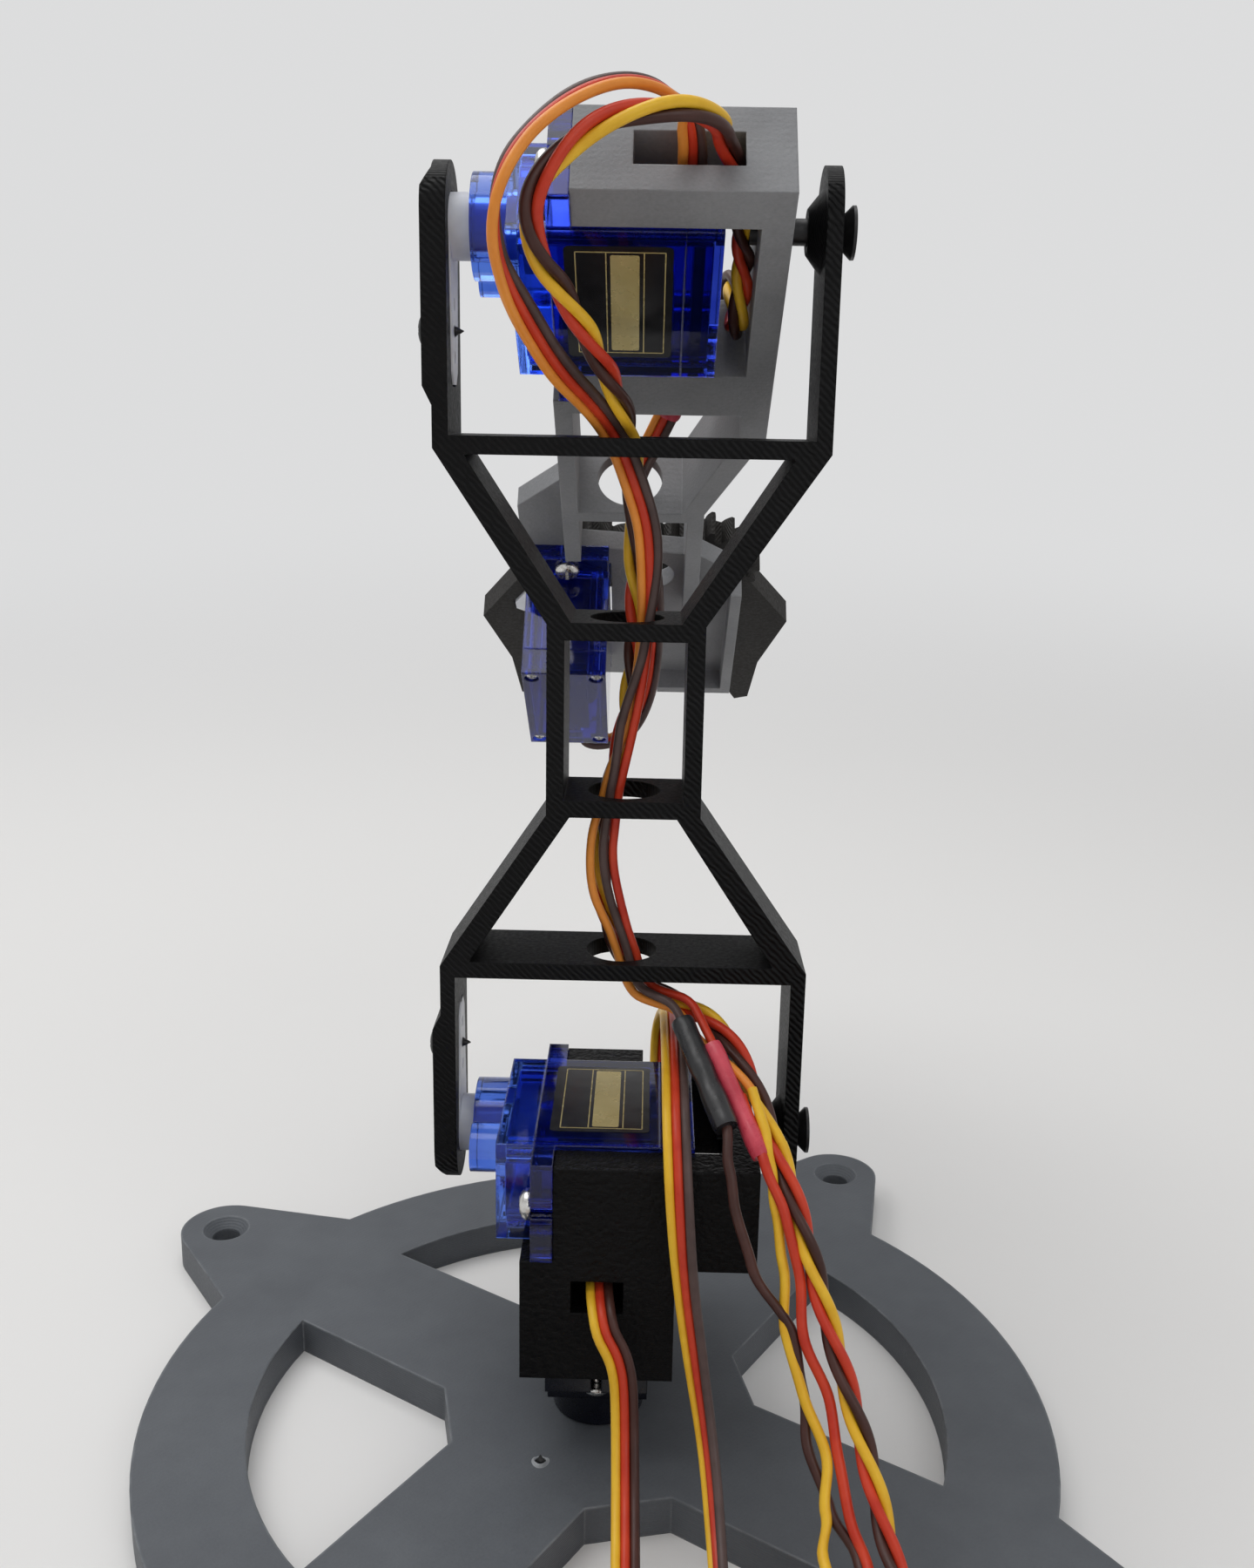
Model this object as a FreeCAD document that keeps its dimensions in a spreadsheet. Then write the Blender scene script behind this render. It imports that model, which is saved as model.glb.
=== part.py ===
import FreeCAD, Part
import math
import os
import Sketcher

# Desk robot arm: yaw base, two truss links, geared two-finger gripper, four micro servos.
# Millimetres. Origin on the yaw axis at the plate's underside, +X right, +Y forward, +Z up.

V = FreeCAD.Vector
doc = FreeCAD.newDocument("robot_arm")
sheet = doc.addObject("Spreadsheet::Sheet", "dims")

driving = {
    # base plate
    "plate_thick": 4.8, "ring_radius": 56.0, "opening_radius": 43.0, "spoke_half": 9.8,
    "hub_half": 18.9, "lug_circle": 68.0, "lug_round": 6.5, "lug_hole": 2.0, "lug_base_half": 13.5,
    "lug_sink": 3.4, "lug_angle": 57.5,
    # micro servo
    "servo_long": 22.7, "servo_wide": 12.0, "servo_tall": 22.7, "shaft_inset": 5.9, "ear_long": 4.75,
    "ear_thick": 2.5, "ear_low": 15.9, "servo_wall": 1.0, "boss_radius": 5.6, "boss_tall": 4.0,
    "small_boss": 2.9, "ear_hole_half": 13.9, "spline_radius": 2.4, "spline_tall": 2.6,
    "base_cover_tall": 4.0, "case_screw": 0.5, "horn_hub": 3.5, "horn_arm": 16.5, "horn_thick": 1.5,
    "horn_hole": 0.7, "shoulder_back": 9.0, "elbow_back": 9.5,
    # links
    "arm_shift": 1.8, "shoulder_y": 8.5, "shoulder_z": 37.9, "arm_length": 106.0, "arm_half_deep": 5.7,
    "fork_left": 21.4, "fork_right": 21.9, "fork_thick": 1.75, "fork_tip": 1.0, "bar_thick": 2.0,
    "bar_low": 21.6, "bar_high": 21.8, "neck_low": 41.6, "neck_high": 41.9, "neck_half": 8.9,
    "cable_hole": 4.3, "horn_boss": 1.0, "horn_boss_low": 16.8, "horn_boss_high": 18.7,
    "horn_face": 19.5, "pivot_boss": 18.55,
    # forearm
    "fore_pitch": 38.0, "fore_half": 5.75, "fore_right": 16.5, "fore_wall": 3.3, "rail_half": 9.6,
    "rail_thick": 2.2, "cross_at": 45.4, "plate_top": 0.5, "grip_plate": 3.0, "plate_half": 16.0,
    "plate_front": 97.0, "pivot_half": 9.5, "pivot_at": 80.0,
    # fingers
    "finger_low": 7.4, "finger_thick": 4.0, "teeth": 19, "module": 1.0, "finger_open": 23.0,
    # turret
    "box_half": 8.8, "box_near": -12.8, "box_far": 24.0, "box_low": 16.7, "trough_top": 43.4,
    "wall_right": 16.2, "wall_thick": 3.0,
    # wires
    "ribbon_radius": 1.2, "triple_radius": 1.6,
}
for line, (alias, number) in enumerate(driving.items(), 1):
    sheet.set("A%d" % line, str(number))
    sheet.setAlias("A%d" % line, alias)
doc.recompute()


class Size:
    # a number together with the sheet formula it comes from
    def __init__(self, text, number):
        self.text = text
        self.number = number

    def mix(self, sign, left, right, number):
        parts = [p.text if isinstance(p, Size) else repr(float(p)) for p in (left, right)]
        return Size("(" + parts[0] + " " + sign + " " + parts[1] + ")", number)

    def __add__(self, other):
        return self.mix("+", self, other, self.number + num(other))

    def __radd__(self, other):
        return self.mix("+", other, self, num(other) + self.number)

    def __sub__(self, other):
        return self.mix("-", self, other, self.number - num(other))

    def __rsub__(self, other):
        return self.mix("-", other, self, num(other) - self.number)

    def __mul__(self, other):
        return self.mix("*", self, other, self.number * num(other))

    def __rmul__(self, other):
        return self.mix("*", other, self, num(other) * self.number)

    def __truediv__(self, other):
        return self.mix("/", self, other, self.number / num(other))

    def __neg__(self):
        return self.mix("*", -1, self, -self.number)


def num(value):
    return value.number if isinstance(value, Size) else float(value)


def root(value):
    return Size("sqrt(" + value.text + ")", math.sqrt(value.number))


def dim(alias):
    return Size("dims." + alias, float(driving[alias]))


def bind(item, name, value):
    if isinstance(value, Size):
        item.setExpression(name, value.text)
    else:
        setattr(item, name, value)


# building helpers
made = []


def box(x0, x1, y0, y1, z0, z1):
    item = doc.addObject("Part::Box", "box")
    bind(item, "Length", (x1 - x0) if isinstance(x1, Size) else num(x1) - x0)
    bind(item, "Width", (y1 - y0) if isinstance(y1, Size) else num(y1) - y0)
    bind(item, "Height", (z1 - z0) if isinstance(z1, Size) else num(z1) - z0)
    item.Placement.Base = V(num(x0), num(y0), num(z0))
    for axis, value in (("x", x0), ("y", y0), ("z", z0)):
        if isinstance(value, Size):
            item.setExpression("Placement.Base." + axis, value.text)
    return item


turns = {"x": FreeCAD.Rotation(V(0, 1, 0), 90), "y": FreeCAD.Rotation(V(1, 0, 0), -90),
         "z": FreeCAD.Rotation()}


def rod(radius, x, y, z, height, axis="z"):
    item = doc.addObject("Part::Cylinder", "rod")
    bind(item, "Radius", radius)
    bind(item, "Height", height)
    seat(item, x, y, z, turns[axis])
    return item


def cone(first, last, x, y, z, height, axis="z"):
    item = doc.addObject("Part::Cone", "cone")
    bind(item, "Radius1", first)
    bind(item, "Radius2", last)
    bind(item, "Height", height)
    seat(item, x, y, z, turns[axis])
    return item


def seat(item, x, y, z, turn):
    item.Placement = FreeCAD.Placement(V(num(x), num(y), num(z)), turn)
    for axis, value in (("x", x), ("y", y), ("z", z)):
        if isinstance(value, Size):
            item.setExpression("Placement.Base." + axis, value.text)


def fuse(*items):
    if len(items) == 1:
        return items[0]
    item = doc.addObject("Part::MultiFuse", "fuse")
    item.Shapes = list(items)
    return item


def cut(base, *tools):
    item = doc.addObject("Part::Cut", "cut")
    item.Base = base
    item.Tool = fuse(*tools)
    return item


def group(*items):
    item = doc.addObject("Part::Compound", "group")
    item.Links = list(items)
    return item


def node(item, label, place=None):
    item.Label = label
    if place is not None:
        item.Placement = place.multiply(item.Placement)
    made.append(item)
    return item


def body(name):
    return doc.addObject("PartDesign::Body", name)


def draw(owner, role, points, turn=0.0, loops=()):
    # closed outline through points, every corner tied to the sheet
    sketch = owner.newObject("Sketcher::SketchObject", "outline")
    plane = [f for f in owner.Origin.OriginFeatures if f.Role == role][0]
    sketch.AttachmentSupport = [(plane, "")]
    sketch.MapMode = "FlatFace"
    sketch.AttachmentOffset = FreeCAD.Placement(V(0, 0, 0), FreeCAD.Rotation(V(0, 0, 1), turn))
    for corners in [points] + list(loops):
        first = sketch.GeometryCount
        spots = [V(num(x), num(y), 0) for x, y in corners]
        count = len(spots)
        for i in range(count):
            sketch.addGeometry(Part.LineSegment(spots[i], spots[(i + 1) % count]))
        for i in range(count):
            sketch.addConstraint(Sketcher.Constraint("Coincident", first + i, 2, first + (i + 1) % count, 1))
        for i, (x, y) in enumerate(corners):
            for kind, value in (("DistanceX", x), ("DistanceY", y)):
                k = sketch.addConstraint(Sketcher.Constraint(kind, -1, 1, first + i, 1, num(value)))
                if isinstance(value, Size):
                    sketch.setExpression("Constraints[%d]" % k, value.text)
    return sketch


def circle(owner, role, radius, x=0.0, y=0.0, turn=0.0):
    sketch = owner.newObject("Sketcher::SketchObject", "round")
    plane = [f for f in owner.Origin.OriginFeatures if f.Role == role][0]
    sketch.AttachmentSupport = [(plane, "")]
    sketch.MapMode = "FlatFace"
    sketch.AttachmentOffset = FreeCAD.Placement(V(0, 0, 0), FreeCAD.Rotation(V(0, 0, 1), turn))
    sketch.addGeometry(Part.Circle(V(num(x), num(y), 0), V(0, 0, 1), num(radius)))
    for kind, value in (("DistanceX", x), ("DistanceY", y)):
        k = sketch.addConstraint(Sketcher.Constraint(kind, -1, 1, 0, 3, num(value)))
        if isinstance(value, Size):
            sketch.setExpression("Constraints[%d]" % k, value.text)
    k = sketch.addConstraint(Sketcher.Constraint("Radius", 0, num(radius)))
    if isinstance(radius, Size):
        sketch.setExpression("Constraints[%d]" % k, radius.text)
    return sketch


def pad(owner, sketch, length, both=False):
    item = owner.newObject("PartDesign::Pad", "pad")
    item.Profile = sketch
    bind(item, "Length", length)
    if both:
        item.SideType = "Symmetric"
    sketch.Visibility = False
    owner.Tip = item
    return item


def pocket(owner, sketch):
    item = owner.newObject("PartDesign::Pocket", "pocket")
    item.Profile = sketch
    item.Type = "ThroughAll"
    item.SideType = "Symmetric"
    owner.Tip = item
    return item


def around(owner, features, sketch, count):
    item = owner.newObject("PartDesign::PolarPattern", "around")
    item.Originals = features
    item.Axis = (sketch, ["N_Axis"])
    item.Angle = 360
    bind(item, "Occurrences", count)
    owner.Tip = item
    return item


def axes(x, y, z):
    return FreeCAD.Rotation(V(*x), V(*y), V(*z), "ZXY")


# positions of the joints
shift = dim("arm_shift")
shoulder_y = dim("shoulder_y")
shoulder_z = dim("shoulder_z")
arm_length = dim("arm_length")
thick = dim("plate_thick")
tall = dim("servo_tall")
boss_end = tall + dim("boss_tall")
inset = dim("shaft_inset")
long_end = dim("servo_long") - inset
half_wide = dim("servo_wide") / 2
shoulder_back = dim("shoulder_back")
elbow_back = dim("elbow_back")
yaw_low = thick + 0.2

arm_place = FreeCAD.Placement(V(num(shift), num(shoulder_y), num(shoulder_z)), FreeCAD.Rotation())
fore_place = FreeCAD.Placement(V(num(shift), num(shoulder_y), num(shoulder_z) + num(arm_length)),
                               FreeCAD.Rotation(V(1, 0, 0), -driving["fore_pitch"]))
pivot = dim("pivot_half")
pivot_at = dim("pivot_at")
ear_top = dim("ear_low") + dim("ear_thick")
grip_back = dim("plate_top") - dim("grip_plate") - ear_top

servo_places = {
    "yaw": FreeCAD.Placement(V(0, 0, num(yaw_low + boss_end)), axes((0, 1, 0), (1, 0, 0), (0, 0, -1))),
    "shoulder": FreeCAD.Placement(V(num(shift + shoulder_back), num(shoulder_y), num(shoulder_z)),
                                  axes((0, -1, 0), (0, 0, 1), (-1, 0, 0))),
    "elbow": fore_place.multiply(FreeCAD.Placement(V(num(elbow_back), 0, 0),
                                                   axes((0, 1, 0), (0, 0, -1), (-1, 0, 0)))),
    "gripper": fore_place.multiply(FreeCAD.Placement(V(-num(pivot), num(pivot_at), num(grip_back)),
                                                     axes((0, -1, 0), (1, 0, 0), (0, 0, 1)))),
}


# servo pieces, each in the servo's own frame: shaft on z, long way on x, case bottom at z 0
wall = dim("servo_wall")
post = 2.6
screw_spots = [(1.4 - inset, 4.6), (1.4 - inset, -4.6), (long_end - 1.4, 4.6), (long_end - 1.4, -4.6)]


def hollow(low, high):
    # room inside a case piece, leaving a post in each corner for the case screws
    wide = box(wall - inset, long_end - wall, post - half_wide, half_wide - post, low, high)
    short = box(post - inset, long_end - post, wall - half_wide, half_wide - wall, low, high)
    return [wide, short]


def screw_bores(low, high):
    return [rod(dim("case_screw") + 0.05, x, y, low, high - low) for x, y in screw_spots]


def gear_cover():
    shell = box(-inset, long_end, -half_wide, half_wide, ear_top, tall)
    boss = rod(dim("boss_radius"), 0, 0, tall - 0.5, dim("boss_tall") + 0.5)
    small = rod(dim("small_boss"), inset + 0.6, 0, tall - 0.5, dim("boss_tall") + 0.5)
    room = hollow(ear_top, tall - wall)
    bore = rod(dim("spline_radius") + 0.05, 0, 0, tall - 2.0, dim("boss_tall") + 3.0)
    return cut(fuse(shell, boss, small), bore, *room, *screw_bores(ear_top, tall - 1.2))


def middle_case():
    shell = box(-inset, long_end, -half_wide, half_wide, dim("base_cover_tall"), ear_top)
    ears = box(-inset - dim("ear_long"), long_end + dim("ear_long"), -half_wide, half_wide,
               dim("ear_low"), ear_top)
    middle = (long_end - inset) / 2
    holes = []
    for side in (-1, 1):
        spot = middle + side * dim("ear_hole_half")
        tip = middle + side * (dim("ear_hole_half") + 4.0)
        holes.append(rod(1.1, spot, 0, dim("ear_low") - 1.0, dim("ear_thick") + 2.0))
        low, high = (tip, spot) if side < 0 else (spot, tip)
        holes.append(box(low, high, -0.6, 0.6, dim("ear_low") - 1.0, ear_top + 1.0))
    room = hollow(dim("base_cover_tall"), ear_top)
    holes.append(box(-inset - 1.0, 2.0 - inset, -2.1, 2.1, 3.0, dim("base_cover_tall") + 0.9))
    return cut(fuse(shell, ears), *holes, *room, *screw_bores(dim("base_cover_tall"), ear_top))


def bottom_cover():
    top = dim("base_cover_tall")
    shell = box(-inset, long_end, -half_wide, half_wide, 0.0, top)
    mouth = box(-inset - 1.0, 2.0 - inset, -2.1, 2.1, top - 1.7, top)
    sinks = [rod(1.05, x, y, 0.0, 0.9) for x, y in screw_spots]
    return cut(shell, mouth, *hollow(wall, top), *screw_bores(0.0, top), *sinks)


def output_shaft():
    # spline with the last gear wheel and the stub that turns the position sensor
    gear = rod(4.4, 0, 0, ear_top + 0.6, 2.2)
    stem = rod(dim("spline_radius"), 0, 0, ear_top + 2.8, boss_end + dim("spline_tall") - ear_top - 2.8)
    stub = rod(1.2, 0, 0, 12.05, ear_top + 0.6 - 12.05)
    return cut(fuse(gear, stem, stub), rod(0.95, 0, 0, boss_end - 2.0, dim("spline_tall") + 2.0))


def case_screws():
    items = []
    for x, y in screw_spots:
        shank = rod(dim("case_screw"), x, y, 0.8, tall - 2.4)
        items.append(fuse(shank, rod(0.95, x, y, 0.1, 0.8)))
    return items


# how far the top of each horn stands above its gear boss
horn_face = dim("horn_face") + dim("horn_thick") - boss_end
horn_rise = {"yaw": 2.8, "shoulder": horn_face + shoulder_back, "elbow": horn_face + elbow_back,
             "gripper": 2.8}


def horn(who):
    # single-arm horn: hub on the spline, flat arm at the hub's outer end along x
    low = boss_end + 0.1
    top = boss_end + horn_rise[who]
    arm = body("horn_arm")
    tip = dim("horn_arm")
    outline = [(0.0, -3.3), (tip - 1.4, -2.1), (tip, -1.0), (tip, 1.0), (tip - 1.4, 2.1), (0.0, 3.3)]
    pad(arm, draw(arm, "XY_Plane", outline), dim("horn_thick"))
    seat(arm, 0.0, 0.0, top - dim("horn_thick"), FreeCAD.Rotation())
    hub = rod(dim("horn_hub"), 0, 0, low, top - low)
    bores = [rod(dim("spline_radius") + 0.02, 0, 0, low - 1.0, 6.0)]
    for spot in (8.0, 10.8, 13.6):
        bores.append(rod(dim("horn_hole"), spot, 0, low, 5.0))
    return cut(fuse(arm, hub), *bores)


def pan_screw(shank, length, head, head_tall, tip=0.0):
    # head on z 0 upwards, shank downwards, ending in a point when a tip length is given
    solids = [rod(shank, 0, 0, tip - length, length - tip), rod(head, 0, 0, 0.0, head_tall)]
    if tip:
        solids.append(cone(0.1, shank, 0, 0, -length, tip))
    return fuse(*solids)


def at(item, place):
    # a piece whose own position comes from the sheet is moved inside a group
    if any(path.lstrip(".").startswith("Placement") for path, rule in item.ExpressionEngine):
        item = group(item)
    item.Placement = place.multiply(item.Placement)
    return item


for who, place in servo_places.items():
    node(gear_cover(), who + "_gear_cover", place)
    node(middle_case(), who + "_middle_case", place)
    node(bottom_cover(), who + "_bottom_cover", place)
    node(output_shaft(), who + "_output_shaft", place)

for owner, pair in (("turret", ("yaw", "shoulder")), ("forearm", ("elbow", "gripper"))):
    motors = [at(rod(4.6, 10.6, 0, 5.0, 12.4), servo_places[who]) for who in pair]
    node(group(*motors), owner + "_servo_motors")
    boards = [at(box(-3.0, 14.0, -3.1, 3.1, 1.8, 3.0), servo_places[who]) for who in pair]
    node(group(*boards), owner + "_control_boards")
    sensors = []
    for who in pair:
        sensors.append(at(cut(rod(4.2, 0, 0, 6.0, 6.2), rod(1.25, 0, 0, 11.0, 2.0)), servo_places[who]))
    node(group(*sensors), owner + "_position_sensors")
    screws = [at(s, servo_places[who]) for who in pair for s in case_screws()]
    node(group(*screws), owner + "_case_screws")
    ear_screws = []
    for who in pair:
        for side in (-1, 1):
            spot = (num(long_end) - num(inset)) / 2 + side * driving["ear_hole_half"]
            local = FreeCAD.Placement(V(spot, 0, num(ear_top)), FreeCAD.Rotation())
            length = 8.0
            if who == "gripper":
                # the gripper servo hangs under its plate, so its screws come from the case side
                local = FreeCAD.Placement(V(spot, 0, driving["ear_low"]), FreeCAD.Rotation(V(1, 0, 0), 180))
                length = 5.4
            ear_screws.append(at(pan_screw(0.75, length, 1.8, 1.4), servo_places[who].multiply(local)))
    node(group(*ear_screws), owner + "_ear_screws")


def horn_place(who, turn):
    spin = FreeCAD.Placement(V(0, 0, 0), FreeCAD.Rotation(V(0, 0, 1), turn))
    return servo_places[who].multiply(spin)


# which way each horn's arm points, as a turn about its own shaft
horn_turns = {"yaw": 208.0, "shoulder": 90.0, "elbow": 52.0, "gripper": 0.0}
screw_at = {"yaw": 13.6, "shoulder": 10.8, "elbow": 10.8, "gripper": 13.6}
finger_open = driving["finger_open"]
horn_turns["gripper"] = 180.0 + finger_open + 12.0
for who, turn in horn_turns.items():
    node(horn(who), who + "_horn", horn_place(who, turn))


def hub_screw(who):
    local = FreeCAD.Placement(V(0, 0, num(boss_end + horn_rise[who]) + 0.05), FreeCAD.Rotation())
    return at(pan_screw(0.9, 4.2, 2.5, 1.3), servo_places[who].multiply(local))


def arm_screw(who, seat_at, length, tip=0.0):
    local = FreeCAD.Placement(V(screw_at[who], 0, seat_at), FreeCAD.Rotation())
    return at(pan_screw(0.6, length, 1.8, 1.1, tip), horn_place(who, horn_turns[who]).multiply(local))


node(group(hub_screw("yaw"), arm_screw("yaw", num(boss_end) + 2.82, 3.5)), "base_horn_screws")
outer = driving["fork_left"] + driving["horn_boss"]
fork_screws = []
for who, back in (("shoulder", shoulder_back), ("elbow", elbow_back)):
    fork_screws.append(hub_screw(who))
    fork_screws.append(arm_screw(who, outer + num(back), 3.9, 1.0))
node(group(*fork_screws), "arm_horn_screws")
finger_top = driving["finger_low"] + driving["finger_thick"]
finger_screw = arm_screw("gripper", finger_top - num(grip_back), 5.0)
node(group(hub_screw("gripper"), finger_screw), "finger_horn_screws")


# cut-out for a horn, its hub screw and its arm screw, in the servo frame of that horn
def horn_room(who, low, through):
    top = boss_end + horn_rise[who] + 0.05
    arm = body("horn_room")
    tip = dim("horn_arm") + 0.2
    outline = [(0.0, -3.5), (tip - 1.4, -2.35), (tip, -1.2), (tip, 1.2), (tip - 1.4, 2.35), (0.0, 3.5)]
    pad(arm, draw(arm, "XY_Plane", outline), top - low)
    seat(arm, 0.0, 0.0, low, FreeCAD.Rotation())
    hub = rod(dim("horn_hub") + 0.15, 0, 0, low, top - low)
    access = rod(2.9, 0, 0, low, 12.0)
    pilot = rod(0.65, screw_at[who], 0, low - 2.0, through)
    return at(fuse(arm, hub, access, pilot), horn_place(who, horn_turns[who]))


# base plate: ring, four spokes to a square hub, four screw lugs
plate = body("plate")
pad(plate, circle(plate, "XY_Plane", dim("ring_radius")), thick)
lug_turn = driving["lug_angle"]
far = dim("lug_circle")
lug_outline = [(far - 22.0, -dim("lug_base_half")), (far - 16.0, -dim("lug_base_half")),
               (far + 2.45, 0.47 - dim("lug_round")), (far + 2.45, dim("lug_round") - 0.47),
               (far - 16.0, dim("lug_base_half")), (far - 22.0, dim("lug_base_half"))]
lug_sketch = draw(plate, "XY_Plane", lug_outline, lug_turn)
lug = pad(plate, lug_sketch, thick)
tip_sketch = circle(plate, "XY_Plane", dim("lug_round"), far, 0.0, lug_turn)
lug_tip = pad(plate, tip_sketch, thick)
around(plate, [lug, lug_tip], lug_sketch, 4)

# each opening: short inner side, two sides along the spokes, outer side on an arc
run = dim("spoke_half") * math.sqrt(2.0)
reach = dim("opening_radius")
corner = (run + root(reach * reach * 2.0 - run * run)) / 2
inner = dim("hub_half")
sides = [(corner, run - corner), (inner, run - inner), (inner, inner - run), (corner, corner - run)]
wedge = plate.newObject("Sketcher::SketchObject", "opening")
wedge.AttachmentSupport = [([f for f in plate.Origin.OriginFeatures if f.Role == "XY_Plane"][0], "")]
wedge.MapMode = "FlatFace"
wedge.AttachmentOffset = FreeCAD.Placement(V(0, 0, 0), FreeCAD.Rotation(V(0, 0, 1), lug_turn + 45.0))
spots = [V(num(x), num(y), 0) for x, y in sides]
for i in range(3):
    wedge.addGeometry(Part.LineSegment(spots[i], spots[i + 1]))
swing = math.atan2(spots[3].y, spots[3].x)
wedge.addGeometry(Part.ArcOfCircle(Part.Circle(V(0, 0, 0), V(0, 0, 1), num(reach)), -swing, swing))
meets = (((0, 2), (1, 1)), ((1, 2), (2, 1)), ((2, 2), (3, 2)), ((3, 1), (0, 1)), ((3, 3), (-1, 1)))
for first, last in meets:
    wedge.addConstraint(Sketcher.Constraint("Coincident", *first, *last))
for line, point, (x, y) in ((0, 1, sides[0]), (1, 1, sides[1]), (2, 1, sides[2])):
    for kind, value in (("DistanceX", x), ("DistanceY", y)):
        k = wedge.addConstraint(Sketcher.Constraint(kind, -1, 1, line, point, num(value)))
        wedge.setExpression("Constraints[%d]" % k, value.text)
k = wedge.addConstraint(Sketcher.Constraint("DistanceY", -1, 1, 2, 2, num(sides[3][1])))
wedge.setExpression("Constraints[%d]" % k, sides[3][1].text)
opening = pocket(plate, wedge)
around(plate, [opening], wedge, 4)

plate_tools = [horn_room("yaw", boss_end + 2.8 - dim("horn_thick") - 0.05, 8.0)]
plate_tools.append(rod(dim("horn_hub") + 0.15, 0, 0, 2.0, thick))
for quarter in range(4):
    angle = math.radians(lug_turn + 90.0 * quarter)
    x = dim("lug_circle") * math.cos(angle)
    y = dim("lug_circle") * math.sin(angle)
    plate_tools.append(rod(dim("lug_hole"), x, y, -1.0, thick + 2.0))
    sink_deep = dim("lug_sink") - dim("lug_hole")
    plate_tools.append(cone(dim("lug_hole"), dim("lug_sink"), x, y, thick - 1.4, sink_deep))
# the yaw servo looks down, so its horn room is opened to the plate's underside
arm_open = body("arm_open")
tip = dim("horn_arm") + 0.2
pad(arm_open, draw(arm_open, "XY_Plane", [(-3.6, -3.5), (tip, -3.5), (tip, 3.5), (-3.6, 3.5)]), 8.0)
seat(arm_open, 0.0, 0.0, boss_end + 2.8, FreeCAD.Rotation())
plate_tools.append(at(arm_open, horn_place("yaw", horn_turns["yaw"])))
node(cut(plate, *plate_tools), "base_plate")


# turret housing: box over the yaw servo, trough above it for the shoulder servo
yaw_top = yaw_low + boss_end
near = dim("box_near")
half = dim("box_half")
seat_low = shoulder_z - half_wide - 0.15
trough_low = seat_low - 0.75
left = shift + shoulder_back - dim("ear_low")
right = shift + dim("wall_right")
right_in = right - dim("wall_thick")
far_in = shoulder_y + inset + 0.15
trough_far = far_in + 4.45
ear_face = yaw_top - dim("ear_low")
lower = box(-half, half, near, dim("box_far"), dim("box_low"), seat_low)
land_near = box(-half_wide, half_wide, -inset - dim("ear_long"), -inset, ear_face + 0.02, seat_low)
land_far = box(-half_wide, half_wide, long_end, long_end + dim("ear_long"), ear_face + 0.02, seat_low)
upper = box(left + 0.02, right, near, trough_far, trough_low, dim("trough_top"))
rooms = [
    box(-half_wide - 0.15, half_wide + 0.15, -inset - 0.15, long_end + 0.15, ear_face - 1.0, yaw_top + 1.2),
    box(left - 1.0, right_in, shoulder_y - long_end - 0.15, far_in, seat_low, dim("trough_top") + 1.0),
    box(half, right_in, shoulder_y - long_end - 0.15, far_in, trough_low - 1.0, seat_low + 1.0),
    box(-3.0, 3.0, near - 1.0, 0.0, yaw_top - 6.4, yaw_top - 2.3),
    box(shift + 2.9, shift + 9.2, far_in - 1.0, trough_far + 6.0, shoulder_z - 2.6, dim("trough_top") + 1.0),
    rod(1.45, right_in - 1.0, shoulder_y, shoulder_z, dim("wall_thick") + 2.0, "x"),
]
middle = (long_end - inset) / 2
for side in (-1, 1):
    spot = middle + side * dim("ear_hole_half")
    rooms.append(rod(0.78, 0.0, spot, ear_face - 1.0, 8.0))
    rooms.append(rod(0.78, left - 1.0, shoulder_y - spot, shoulder_z, 8.0, "x"))
node(cut(fuse(lower, upper, land_near, land_far), *rooms), "turret_housing")


# upper arm: one flat truss with a fork at each end, drawn in its own frame (origin on the shoulder axis)
truss = body("truss")
fork_left = dim("fork_left")
fork_right = dim("fork_right")
bar = dim("bar_thick")
low_bar = dim("bar_low")
high_bar = arm_length - dim("bar_high")
low_neck = dim("neck_low")
high_neck = arm_length - dim("neck_high")
slim = dim("neck_half")
outline = [(-fork_left, low_bar), (fork_right, low_bar), (fork_right, low_bar + 1.4), (slim, low_neck + 0.2),
           (slim, high_neck - 0.2), (fork_right, high_bar - 1.4), (fork_right, high_bar),
           (-fork_left, high_bar), (-fork_left, high_bar - 1.4), (-slim, high_neck - 0.2),
           (-slim, low_neck + 0.2), (-fork_left, low_bar + 1.4)]
knee = 18.0
throat = slim - 2.7
windows = [
    [(-knee, low_bar + bar), (knee, low_bar + bar), (throat, low_neck), (-throat, low_neck)],
    [(2.0 - slim, low_neck + bar), (slim - 2.0, low_neck + bar), (slim - 2.0, high_neck - bar),
     (2.0 - slim, high_neck - bar)],
    [(-throat, high_neck), (throat, high_neck), (knee, high_bar - bar), (-knee, high_bar - bar)],
]
pad(truss, draw(truss, "XZ_Plane", outline, 0.0, windows), dim("arm_half_deep") * 2, True)

deep = dim("arm_half_deep")
leg = dim("fork_thick")
proud = dim("horn_boss")


def bar_shape(x0, long, low, high, tip_at):
    # flat bar from low to high along the arm with a round end at tip_at
    return fuse(box(x0, x0 + long, -deep, deep, low, high), rod(deep, x0, 0, tip_at, long, "x"))


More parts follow.
